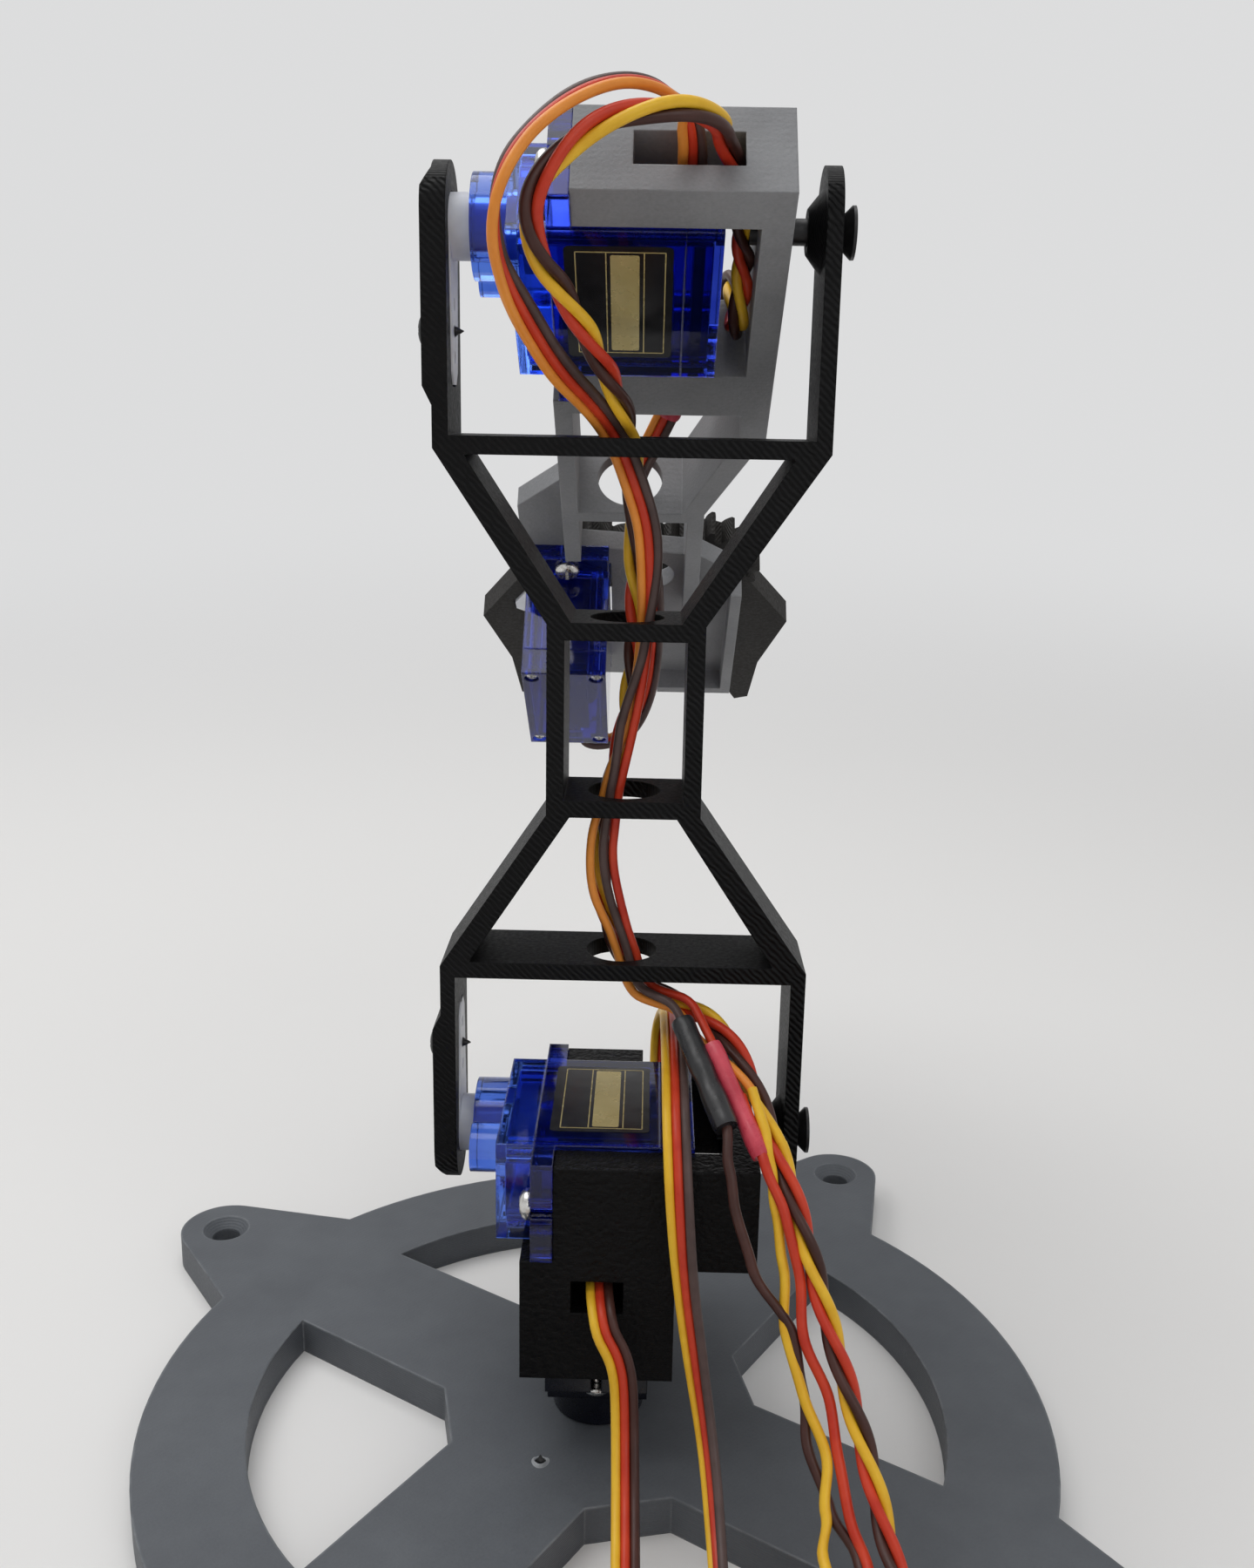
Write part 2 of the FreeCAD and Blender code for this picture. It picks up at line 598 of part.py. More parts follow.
def horn_boss(end, sign, far):
    # thicker part of a leg over the horn, sloped down to the leg at both ends
    first = -dim("fork_tip") - deep
    slope = [(-fork_left, first + 1.2), (-fork_left - proud, first + 3.2), (-fork_left - proud, far - 2.0),
             (-fork_left, far)]
    block = body("horn_boss")
    pad(block, draw(block, "XZ_Plane", [(x, end + sign * s) for x, s in slope]), deep * 2, True)
    low, high = (end - dim("fork_tip"), end + far) if sign > 0 else (end - far, end + dim("fork_tip"))
    item = doc.addObject("Part::Common", "boss")
    item.Base = block
    item.Tool = bar_shape(-fork_left - proud, proud, low, high, end - sign * dim("fork_tip"))
    return item


arm_solids = [truss]
arm_tools = [rod(dim("cable_hole"), 0, 0, 10.0, arm_length - 20.0)]
for end, sign, far in ((0.0, 1, dim("horn_boss_low")), (arm_length, -1, dim("horn_boss_high"))):
    low, high = (0.0, dim("bar_low") + 1.0) if sign > 0 else (high_bar - 1.0, arm_length)
    for x0 in (-fork_left, fork_right - leg):
        arm_solids.append(bar_shape(x0, leg, low, high, end - sign * dim("fork_tip")))
    arm_solids.append(horn_boss(end, sign, far))
    arm_solids.append(cone(2.4, 4.4, dim("pivot_boss"), 0, end, fork_right - leg - dim("pivot_boss"), "x"))
    arm_tools.append(rod(1.42, 10.0, 0, end, 20.0, "x"))
raw_arm = fuse(*arm_solids)
raw_arm.Placement = arm_place
arm_tools = [at(tool, arm_place) for tool in arm_tools]
for who, back in (("shoulder", shoulder_back), ("elbow", elbow_back)):
    arm_tools.append(horn_room(who, fork_left - leg + back - 1.0, 12.0))
node(cut(raw_arm, *arm_tools), "upper_arm_frame")


def pivot_bolt(end):
    shank = rod(1.4, 12.4, 0, end, fork_right - 12.4 + 0.2, "x")
    head = cone(1.4, 2.8, fork_right + 0.05, 0, end, 1.4, "x")
    rim = rod(2.8, fork_right + 1.45, 0, end, 0.35, "x")
    recess = rod(1.0, fork_right + 0.9, 0, end, 1.5, "x")
    return at(cut(fuse(shank, head, rim), recess), arm_place)


node(group(pivot_bolt(0.0), pivot_bolt(arm_length)), "pivot_bolts")


# forearm: servo window, tapered truss, gripper plate (origin on the elbow axis, y along it, z its normal)
frame = body("frame")
face = elbow_back - dim("ear_low")
wall_right = dim("fore_right")
wall_in = wall_right - dim("fore_wall")
back_wall = inset + 0.3
window_end = long_end + 0.15
rail = dim("rail_half")
rail_in = rail - dim("rail_thick")
cross = dim("cross_at")
start = -dim("shaft_inset") - 5.3
bar_end = window_end + 7.25
ear_clear = long_end + dim("ear_long") + 0.3
outline = [(face + 0.02, start), (wall_right, start), (wall_right, bar_end + 4.4), (rail, cross),
           (rail, 72.0), (rail_in, 72.0), (rail_in, cross + 2.0), (-rail_in, cross + 2.0), (-rail_in, 57.6),
           (-rail, 57.6), (-rail, ear_clear), (face + 0.02, ear_clear), (face + 0.02, window_end),
           (wall_in, window_end), (wall_in, -back_wall), (face + 0.02, -back_wall)]
gap = [(-rail_in, bar_end), (wall_in, bar_end), (wall_in, bar_end + 4.4), (rail_in - 0.8, cross),
       (-rail_in, cross)]
pad(frame, draw(frame, "XY_Plane", outline, 0.0, [gap]), dim("fore_half") * 2, True)

grip = body("grip")
wide = dim("plate_half")
front = dim("plate_front")
notch_left = -pivot - half_wide - 0.2
notch_right = half_wide - pivot + 0.2
grip_start = pivot_at + inset - dim("servo_long")
grip_outline = [(-rail, 42.2), (-wide, 48.8), (-wide, grip_start - 0.2), (notch_right, grip_start - 0.2),
                (notch_right, pivot_at + inset + 0.2), (-wide, pivot_at + inset + 0.2), (-wide, front),
                (wide, front), (wide, 66.0), (rail, 60.6), (-rail + 1.0, 58.6), (-rail + 1.0, 42.2)]
pad(grip, draw(grip, "XY_Plane", grip_outline), dim("grip_plate"))
plate_top = dim("plate_top")
plate_low = plate_top - dim("grip_plate")
seat(grip, 0.0, 0.0, plate_low, FreeCAD.Rotation())
finger_low = dim("finger_low")
skirt = [box(wide - 1.6, wide, 66.0, front, plate_low - 3.5, plate_low + 0.5),
         box(4.0, wide, front - 1.6, front, plate_low - 3.5, plate_low + 0.5)]
stand = rod(3.4, pivot, pivot_at, plate_low, finger_low - 0.1 - plate_low)
slot = body("slot")
slot_outline = [(-0.1, start - 1.0), (10.9, start - 1.0), (wall_in, -back_wall), (wall_in, 0.0), (-0.1, 0.0)]
pad(slot, draw(slot, "XY_Plane", slot_outline), 4.6, True)
fore_tools = [
    slot,
    rod(4.4, -0.5, cross - 1.0, 0.0, 4.0, "y"),
    rod(1.45, wall_in - 1.0, 0, 0, dim("fore_wall") + 2.0, "x"),
    rod(4.0, 2.0, 66.0, plate_low - 1.0, dim("grip_plate") + 2.0),
    rod(1.2, pivot, pivot_at, plate_low - 1.0, 20.0),
]
for side in (-1, 1):
    spot = middle + side * dim("ear_hole_half")
    fore_tools.append(rod(0.78, face - 1.0, spot, 0, 8.0, "x"))
    fore_tools.append(rod(0.78, -pivot, pivot_at - spot, plate_low - 1.0, 8.0))
node(cut(fuse(frame, grip, stand, *skirt), *fore_tools), "forearm_frame", fore_place)


# geared fingers: involute teeth round the pivot, claw blade on one side
module = driving["module"]
pitch_radius = module * driving["teeth"] / 2
base_radius = pitch_radius * math.cos(math.radians(20.0))
tip_radius = pitch_radius + 0.92 * module
root_radius = pitch_radius - 1.2 * module
tooth_play = 0.24


def involute(angle):
    return math.tan(angle) - angle


def half_angle(radius):
    # half the tooth's angular width at a radius, thinned by the play
    lean = math.acos(min(1.0, base_radius / radius))
    width = (math.pi * module / 2 - tooth_play) / (2 * pitch_radius)
    return width + involute(math.radians(20.0)) - involute(lean)


def tooth_outline():
    radii = [base_radius, pitch_radius - 0.1, pitch_radius + 0.45, tip_radius]
    side = [(r * math.cos(half_angle(r)), r * math.sin(half_angle(r))) for r in radii]
    foot = (root_radius - 0.4) * math.cos(half_angle(base_radius))
    lower = [(x, -y) for x, y in side]
    return [(foot, -side[0][1])] + lower + side[::-1] + [(foot, side[0][1])]


def finger(sign):
    # rest pose: blade swung open about the pivot, a tooth on the line of centres
    item = body("finger")
    high = dim("finger_thick")
    blade = [(6.5, 2.0), (8.6, 21.2), (-0.6, 33.2), (-6.6, 45.1), (-9.2, 45.1), (-9.2, 29.0),
             (-5.6, 24.4), (-4.6, 14.0), (-6.5, 2.0)]
    if sign < 0:
        blade = [(-x, y) for x, y in blade]
    pad(item, circle(item, "XY_Plane", root_radius), high)
    tooth_sketch = draw(item, "XY_Plane", tooth_outline())
    tooth = pad(item, tooth_sketch, high)
    around(item, [tooth], tooth_sketch, dim("teeth"))
    pad(item, draw(item, "XY_Plane", blade, -sign * finger_open), high)
    seat(item, sign * pivot, pivot_at, finger_low, FreeCAD.Rotation())
    return item


left_tool = horn_room("gripper", boss_end + 0.2, 14.0)
node(cut(at(finger(-1), fore_place), left_tool), "left_finger")
node(cut(finger(1), rod(1.55, pivot, pivot_at, finger_low - 1.0, 8.0)), "right_finger", fore_place)
pivot_screw = pan_screw(1.5, dim("finger_thick") + 0.3, 2.8, 1.6)
thread = rod(1.15, 0, 0, -dim("finger_thick") - 7.0, 7.0)
screw_seat = FreeCAD.Placement(V(num(pivot), num(pivot_at), finger_top + 0.2), FreeCAD.Rotation())
node(at(fuse(pivot_screw, thread), fore_place.multiply(screw_seat)), "finger_pivot_screw")


# wires: straight runs joined by tangent arcs
def tube(points, radius):
    spots = [V(*p) for p in points]
    edges = []
    last = spots[0]
    for i in range(1, len(spots) - 1):
        back = (spots[i - 1] - spots[i])
        ahead = (spots[i + 1] - spots[i])
        trim = 0.45 * min(back.Length, ahead.Length)
        back.normalize()
        ahead.normalize()
        turn = back.getAngle(ahead)
        enter = spots[i] + back * trim
        leave = spots[i] + ahead * trim
        bend = trim * math.tan(turn / 2)
        inward = (back + ahead)
        inward.normalize()
        middle_point = spots[i] + inward * (bend / math.sin(turn / 2) - bend)
        edges.append(Part.LineSegment(last, enter).toShape())
        edges.append(Part.Arc(enter, middle_point, leave).toShape())
        last = leave
    edges.append(Part.LineSegment(last, spots[-1]).toShape())
    path = Part.Wire(edges)
    ring = Part.Wire([Part.Circle(spots[0], spots[1] - spots[0], radius).toShape()])
    shape = path.makePipeShell([ring], True, True)
    expected = math.pi * radius ** 2 * path.Length
    print("wire", round(path.Length, 1), "volume ratio", round(shape.Volume / expected, 3))
    return shape


def wire(label, runs, radius):
    shapes = [tube(points, radius) for points in runs]
    item = doc.addObject("Part::Feature", label)
    item.Shape = shapes[0] if len(shapes) == 1 else Part.makeCompound(shapes)
    node(item, label)


def on_forearm(x, along, normal):
    spot = fore_place.multVec(V(x, along, normal))
    return (spot.x, spot.y, spot.z)


ribbon = driving["ribbon_radius"]
triple = driving["triple_radius"]
exit_x = num(shift + shoulder_back) - 3.6
yaw_exit = num(yaw_top) - 3.6
elbow_exit = on_forearm(num(elbow_back) - 3.6, -num(inset) - 0.1, 0.0)

wire("yaw_lead", [
    [(0.0, -6.0, yaw_exit), (0.4, -12.6, yaw_exit - 0.4), (1.4, -17.0, 25.0), (2.3, -18.2, 19.6),
     (2.9, -20.2, 14.0), (3.3, -25.4, 9.4), (3.6, -33.0, 7.3), (3.8, -44.0, 6.7), (3.9, -54.0, 6.6),
     (3.9, -61.0, 4.8), (3.8, -69.0, 1.8), (3.6, -82.0, 1.3)],
    [(-26.0, -117.2, 1.3), (-32.0, -118.9, 1.3), (-39.0, -119.6, 1.3)]], ribbon)
wire("shoulder_lead", [
    [(exit_x, num(shoulder_y + inset) + 0.1, 37.9), (exit_x, 20.0, 38.6), (exit_x, 23.2, 44.5),
     (8.2, 18.4, 50.0), (8.3, 8.0, 51.8), (8.4, -3.0, 51.2), (8.5, -12.2, 48.4), (9.0, -16.6, 41.0),
     (9.8, -17.6, 32.6), (11.2, -19.0, 23.6), (12.8, -22.6, 15.0), (13.5, -29.0, 9.4), (13.8, -38.0, 7.2),
     (14.2, -49.0, 6.7), (15.0, -58.0, 5.6), (16.0, -66.0, 2.2), (17.0, -76.0, 1.4), (18.2, -92.0, 1.3),
     (18.8, -110.0, 1.3), (18.4, -127.0, 1.3)]], ribbon)
wire("elbow_lead", [
    [elbow_exit, (7.9, -0.9, 151.1), (6.6, -4.0, 154.0), (4.2, -7.0, 155.3), (0.7, -9.8, 155.3),
     (-3.0, -12.2, 153.8), (-6.4, -14.4, 151.1), (-9.1, -16.0, 147.9), (-10.5, -16.8, 144.4),
     (-10.9, -16.2, 141.0), (-10.3, -13.8, 137.5), (-8.4, -9.4, 133.7), (-5.6, -3.2, 128.9),
     (-1.7, 4.2, 125.2), (0.3, 7.8, 121.8), (1.2, 8.5, 114.0), (1.4, 8.5, 107.0), (0.9, 8.5, 101.0),
     (0.2, 8.5, 95.0), (-0.4, 8.5, 90.0)]], ribbon)
wire("elbow_lead_lower", [
    [(-0.4, 8.5, 90.0), (-1.0, 8.5, 85.0), (-1.2, 8.5, 80.0), (-1.1, 8.5, 74.0), (-0.4, 8.4, 67.0),
     (0.5, 8.0, 62.0), (0.8, 7.3, 58.4), (2.6, 5.4, 57.1), (5.4, 3.8, 57.1), (8.24, 2.28, 57.4),
     (9.6, -0.8, 55.2)]], ribbon)
wire("gripper_lead", [
    [on_forearm(*p) for p in [(-9.5, 86.0, -17.3), (-9.2, 90.6, -18.4), (-5.4, 93.6, -20.2),
                              (-0.6, 90.4, -19.6), (2.4, 82.0, -15.6), (3.2, 72.0, -10.4), (3.0, 62.0, -6.2),
                              (1.2, 54.0, -2.6), (-0.2, 47.0, -0.6), (0.6, 42.4, -0.6), (2.36, 38.1, 0.24),
                              (4.4, 34.2, 2.6)]]], ribbon)
wire("gripper_wires_upper", [
    [on_forearm(*p) for p in [(8.21, 26.88, 7.01), (10.03, 23.4, 9.1), (11.1, 18.6, 9.6), (11.35, 13.4, 7.6),
                              (11.35, 6.0, 3.6), (11.35, -0.6, 0.8), (11.35, -5.0, 0.2), (11.0, -7.3, 0.1),
                              (9.05, -11.8, 0.0)]]
    + [(10.7, -5.2, 152.1), (8.3, -8.2, 152.8), (4.9, -10.4, 152.8), (0.6, -12.2, 151.7),
       (-2.9, -13.2, 149.9), (-5.6, -14.0, 147.2), (-7.4, -14.4, 144.4), (-7.8, -14.0, 141.8),
       (-6.8, -12.4, 138.9), (-4.3, -9.0, 135.4), (-1.6, -3.6, 130.7), (1.3, 3.4, 125.7), (3.7, 8.2, 120.8),
       (4.1, 8.6, 113.0), (4.4, 8.6, 107.0), (4.2, 8.6, 101.0), (3.6, 8.6, 95.0), (2.9, 8.6, 90.0)]], triple)
wire("gripper_wires_middle", [
    [(2.9, 8.6, 89.99), (2.2, 8.6, 85.0), (2.0, 8.6, 80.0), (2.2, 8.6, 74.0), (3.0, 8.6, 67.4),
     (3.7, 8.6, 62.5), (3.9, 8.6, 58.2), (7.6, 7.0, 55.6), (14.4, 2.2, 54.6), (19.0, -4.0, 50.8),
     (21.0, -10.5, 45.6)]], triple)
wire("elbow_extension", [
    [(14.11, -11.02, 47.99), (15.4, -14.0, 45.9), (16.0, -16.4, 40.2), (16.9, -18.0, 34.8),
     (19.4, -20.0, 29.4), (22.4, -22.6, 23.6), (25.0, -26.6, 17.2), (27.0, -32.6, 11.2), (28.3, -42.0, 7.9),
     (29.3, -53.0, 6.9), (30.3, -62.0, 4.2), (31.2, -71.0, 1.9), (32.0, -84.0, 1.7),
     (32.4, -98.0, 1.7)]], triple)
wire("gripper_wires_lower", [
    [(21.01, -10.52, 45.58), (21.94, -13.54, 43.17), (23.4, -16.8, 37.8), (25.4, -19.6, 31.2),
     (28.0, -23.0, 24.4), (30.8, -27.6, 17.8), (33.4, -33.8, 11.6), (35.4, -43.0, 8.2), (36.9, -54.0, 6.9),
     (38.0, -63.0, 4.0), (38.8, -72.0, 1.9), (39.8, -86.0, 1.7), (41.2, -100.0, 1.7)]], triple)


def sleeve(first, last, radius):
    start_at = V(*first)
    run_to = V(*last) - start_at
    item = doc.addObject("Part::Cylinder", "sleeve")
    item.Radius = radius
    item.Height = run_to.Length
    item.Placement = FreeCAD.Placement(start_at, FreeCAD.Rotation(V(0, 0, 1), run_to))
    return item


node(sleeve((9.61, -0.82, 55.19), (14.1, -11.0, 48.0), 1.5), "splice_sleeve_black")
node(sleeve((14.6, -4.2, 52.6), (18.2, -12.4, 45.2), 1.2), "splice_sleeve_red")
node(sleeve(on_forearm(4.41, 34.18, 2.61), on_forearm(8.2, 26.9, 7.0), 1.7), "gripper_splice_sleeve")

coil = doc.addObject("Part::Torus", "coil")
coil.Radius1 = 20.0
coil.Radius2 = 2.4
node(coil, "yaw_lead_coil", FreeCAD.Placement(V(-17.0, -94.0, 2.5), FreeCAD.Rotation()))


def plug(x, y, z, turn):
    item = box(0.0, 14.0, -3.9, 3.9, -1.3, 1.3)
    return at(item, FreeCAD.Placement(V(x, y, z), FreeCAD.Rotation(V(0, 0, 1), turn)))


node(group(plug(-39.0, -119.6, 1.35, 180.0), plug(18.4, -127.0, 1.35, -91.0), plug(32.4, -98.0, 1.7, -89.0),
           plug(41.2, -100.0, 1.7, -85.0)), "lead_plugs")

# check and write
doc.recompute()
for item in doc.Objects:
    if "Invalid" in item.State or "Error" in item.State:
        raise RuntimeError("bad object " + item.Name + " " + item.Label + " " + str(item.State))
os.makedirs("parts", exist_ok=True)
for item in made:
    shape = item.Shape
    if shape.isNull() or not shape.isValid():
        raise RuntimeError("bad shape " + item.Label)
    shape.exportStep("parts/" + item.Label + ".step")
    limits = shape.BoundBox
    print("%-24s solids %d volume %9.1f  x %7.2f %7.2f  y %7.2f %7.2f  z %7.2f %7.2f" % (
        item.Label, len(shape.Solids), shape.Volume, limits.XMin, limits.XMax, limits.YMin, limits.YMax,
        limits.ZMin, limits.ZMax))
print(len(made), "sub-parts written")
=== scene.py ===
import math
import random

import bmesh
import bpy
import numpy as np
from mathutils import Matrix, Vector


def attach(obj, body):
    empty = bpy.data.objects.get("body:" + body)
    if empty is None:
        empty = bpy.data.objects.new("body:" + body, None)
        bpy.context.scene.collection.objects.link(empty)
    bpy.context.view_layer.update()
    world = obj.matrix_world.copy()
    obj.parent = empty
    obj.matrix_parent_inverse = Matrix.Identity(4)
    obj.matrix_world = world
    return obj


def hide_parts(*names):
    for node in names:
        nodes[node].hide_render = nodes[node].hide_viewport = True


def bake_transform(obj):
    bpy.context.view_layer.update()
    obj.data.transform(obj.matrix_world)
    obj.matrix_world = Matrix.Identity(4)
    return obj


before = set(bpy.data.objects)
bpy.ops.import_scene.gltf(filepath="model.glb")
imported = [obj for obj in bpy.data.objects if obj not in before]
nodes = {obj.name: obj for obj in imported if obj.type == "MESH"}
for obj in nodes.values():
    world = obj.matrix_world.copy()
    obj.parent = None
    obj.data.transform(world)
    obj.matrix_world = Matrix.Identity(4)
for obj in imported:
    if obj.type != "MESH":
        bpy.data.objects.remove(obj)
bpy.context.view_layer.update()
mm = 0.001
print("frame loaded,", len(nodes), "nodes")

# camera, from the corners of the servos, the truss and the plate
shot = {"place": (4.422, -160.293, 125.552), "pitch": 14.408, "yaw": -0.789, "roll": 1.035, "lens": 33.847,
        "sensor": 36.0, "near": 0.01, "far": 50.0}


def aimCamera():
    pitch, yaw, roll = (math.radians(shot[k]) for k in ("pitch", "yaw", "roll"))
    ahead = Vector((math.sin(yaw) * math.cos(pitch), math.cos(yaw) * math.cos(pitch), -math.sin(pitch)))
    level = Vector((math.cos(yaw), -math.sin(yaw), 0))
    lift = level.cross(ahead)
    right = level * math.cos(roll) + lift * math.sin(roll)
    up = lift * math.cos(roll) - level * math.sin(roll)
    data = bpy.data.cameras.new("camera")
    data.sensor_width = shot["sensor"]
    data.lens = shot["lens"]
    data.clip_start = shot["near"]
    data.clip_end = shot["far"]
    eye = bpy.data.objects.new("camera", data)
    bpy.context.scene.collection.objects.link(eye)
    turn = Matrix((right, up, -ahead)).transposed().to_4x4()
    eye.matrix_world = Matrix.Translation(Vector(shot["place"]) * mm) @ turn
    bpy.context.scene.camera = eye


aimCamera()
print("camera set")


# node helpers for the materials
noiseBand = (0.3, 0.7)  # most values of a noise texture lie between these
wavePitch = 314.16  # millimetres between the bands of a wave texture at scale 1
rounding = {"samples": 6, "agree": (0.995, 0.8)}


def startMaterial(name):
    mat = bpy.data.materials.new(name)
    mat.use_nodes = True
    tree = mat.node_tree
    return mat, tree, tree.nodes["Principled BSDF"], put(tree, "ShaderNodeTexCoord").outputs["Object"]


def put(tree, kind, inputs=None, **settings):
    made = tree.nodes.new(kind)
    for key, value in settings.items():
        setattr(made, key, value)
    for key, value in (inputs or {}).items():
        if isinstance(value, bpy.types.NodeSocket):
            tree.links.new(value, made.inputs[key])
        else:
            made.inputs[key].default_value = value
    return made


def join(tree, output, shader, socket):
    tree.links.new(output, shader.inputs[socket])


def speckle(tree, spot, sizeMm, detail=3.0, rough=0.55):
    return put(tree, "ShaderNodeTexNoise", {"Vector": spot, "Scale": 1000.0 / sizeMm, "Detail": detail,
                                            "Roughness": rough}).outputs["Fac"]


def tones(tree, value, first, last, band=noiseBand):
    made = put(tree, "ShaderNodeValToRGB", {"Fac": value})
    for element, at, color in zip(made.color_ramp.elements, band, (first, last)):
        element.position = at
        element.color = (*color, 1)
    return made.outputs["Color"]


def span(tree, value, toLow, toHigh, band=noiseBand):
    return put(tree, "ShaderNodeMapRange", {"Value": value, "From Min": band[0], "From Max": band[1],
                                            "To Min": toLow, "To Max": toHigh}).outputs["Result"]


def sums(tree, operation, first, second):
    return put(tree, "ShaderNodeMath", {0: first, 1: second}, operation=operation).outputs["Value"]


def stripes(tree, spot, pitchMm, turn, wobble):
    angles = tuple(math.radians(t) for t in turn)
    turned = put(tree, "ShaderNodeMapping", {"Vector": spot, "Rotation": angles})
    return put(tree, "ShaderNodeTexWave", {"Vector": turned.outputs["Vector"], "Scale": wavePitch / pitchMm,
                                           "Distortion": wobble, "Detail": 1.0, "Detail Scale": 1.5},
               wave_type="BANDS", bands_direction="X").outputs["Fac"]


def roundEdge(tree, widthMm):
    # rounded normal, and how much the rounding turns it away from the flat one
    bevel = put(tree, "ShaderNodeBevel", {"Radius": widthMm * mm}, samples=rounding["samples"])
    soft = bevel.outputs["Normal"]
    flat = put(tree, "ShaderNodeNewGeometry").outputs["Normal"]
    agree = put(tree, "ShaderNodeVectorMath", {0: soft, 1: flat}, operation="DOT_PRODUCT").outputs["Value"]
    return soft, span(tree, agree, 0.0, 1.0, rounding["agree"])


def bump(tree, height, strength, depthMm, normal=None):
    inputs = {"Height": height, "Strength": strength, "Distance": depthMm * mm}
    if normal is not None:
        inputs["Normal"] = normal
    return put(tree, "ShaderNodeBump", inputs).outputs["Normal"]


# printed plastics: tone, grain, layer lines, top-skin hatch, and pale edges that are partly real scuffs and
# partly a painted highlight
prints = {
    "greyPrint": {"dark": (0.088, 0.095, 0.106), "light": (0.112, 0.121, 0.133), "edge": (0.3, 0.315, 0.33),
                  "edgeMm": 0.55, "edgeShare": 0.95, "rough": (0.44, 0.6), "shine": 0.3, "grainMm": 0.35,
                  "grainDepth": 0.03, "layerMm": 0.3, "layerTurn": (0, 90, 0), "layerDepth": 0.02,
                  "hatchMm": 0.55, "hatchDepth": 0.006, "hatchNormal": 2, "hatchTurn": (0, 0, 45),
                  "wobble": 0.8},
    "blackPrint": {"dark": (0.0022, 0.0022, 0.0024), "light": (0.005, 0.005, 0.0053),
                   "edge": (0.014, 0.014, 0.015), "edgeMm": 0.25, "edgeShare": 0.5, "rough": (0.38, 0.54),
                   "shine": 0.12, "grainMm": 0.5, "grainDepth": 0.02, "layerMm": 0.25,
                   "layerTurn": (0, 0, 90), "layerDepth": 0.02, "hatchMm": 0.62, "hatchDepth": 0.12,
                   "hatchNormal": 1, "hatchTurn": (0, 45, 0), "wobble": 3.0},
    "turretPrint": {"dark": (0.002, 0.002, 0.0022), "light": (0.0045, 0.0045, 0.0048),
                    "edge": (0.012, 0.012, 0.013), "edgeMm": 0.25, "edgeShare": 0.5, "rough": (0.34, 0.6),
                    "shine": 0.13, "grainMm": 0.7, "grainDepth": 0.3, "layerMm": 0.25,
                    "layerTurn": (0, 90, 0), "layerDepth": 0.01},
    "lightPrint": {"dark": (0.19, 0.193, 0.2), "light": (0.25, 0.253, 0.26), "edge": (0.36, 0.365, 0.37),
                   "edgeMm": 0.3, "edgeShare": 0.7, "rough": (0.5, 0.68), "shine": 0.32, "grainMm": 0.42,
                   "grainDepth": 0.06, "layerMm": 0.22, "layerTurn": (52, 0, 90), "layerDepth": 0.008},
    "fingerPrint": {"dark": (0.0075, 0.0062, 0.0052), "light": (0.0145, 0.012, 0.0102),
                    "edge": (0.05, 0.048, 0.046), "edgeMm": 0.25, "edgeShare": 0.6, "rough": (0.48, 0.66),
                    "shine": 0.22, "grainMm": 0.5, "grainDepth": 0.05, "layerMm": 0.2,
                    "layerTurn": (52, 0, 90), "layerDepth": 0.05},
}
printing = {"cloudMm": 9.0, "cloudShare": 0.6, "grainShare": 0.4, "band": (0.35, 0.65), "wearMm": 3.0,
            "leastScuffHighlight": 0.25, "wobble": 0.6, "skinFacing": 0.8}


def printedPlastic(name):
    look = prints[name]
    mat, tree, shader, spot = startMaterial(name)
    cloud = speckle(tree, spot, printing["cloudMm"], 4.0)
    grain = speckle(tree, spot, look["grainMm"], 2.0)
    soft, edge = roundEdge(tree, look["edgeMm"])
    mottle = sums(tree, "ADD", sums(tree, "MULTIPLY", cloud, printing["cloudShare"]),
                  sums(tree, "MULTIPLY", grain, printing["grainShare"]))
    body = tones(tree, mottle, look["dark"], look["light"], printing["band"])
    # pale edge colour in patches along the rounded edges: real scuffs and a painted highlight together
    patches = speckle(tree, spot, printing["wearMm"])
    scuffAndHighlightAmount = span(tree, patches, printing["leastScuffHighlight"], look["edgeShare"], printing["band"])
    scuffAndHighlight = sums(tree, "MULTIPLY", edge, scuffAndHighlightAmount)
    mixed = put(tree, "ShaderNodeMix", {0: scuffAndHighlight, 6: body, 7: (*look["edge"], 1)}, data_type="RGBA")
    join(tree, mixed.outputs[2], shader, "Base Color")
    join(tree, span(tree, grain, *look["rough"]), shader, "Roughness")
    shader.inputs["Specular IOR Level"].default_value = look["shine"]
    layers = stripes(tree, spot, look["layerMm"], look["layerTurn"], printing["wobble"])
    normal = bump(tree, layers, 1.0, look["layerDepth"], soft)
    if "hatchMm" in look:
        # slanting lines of the top skin, on faces that look along one axis
        facing = put(tree, "ShaderNodeSeparateXYZ", {0: put(tree, "ShaderNodeTexCoord").outputs["Normal"]})
        flat = sums(tree, "ABSOLUTE", facing.outputs[look["hatchNormal"]], 0.0)
        lines = stripes(tree, spot, look["hatchMm"], look["hatchTurn"], look["wobble"])
        hatch = sums(tree, "MULTIPLY", lines, sums(tree, "GREATER_THAN", flat, printing["skinFacing"]))
        normal = bump(tree, hatch, 1.0, look["hatchDepth"], normal)
    join(tree, bump(tree, grain, 1.0, look["grainDepth"], normal), shader, "Normal")
    return mat


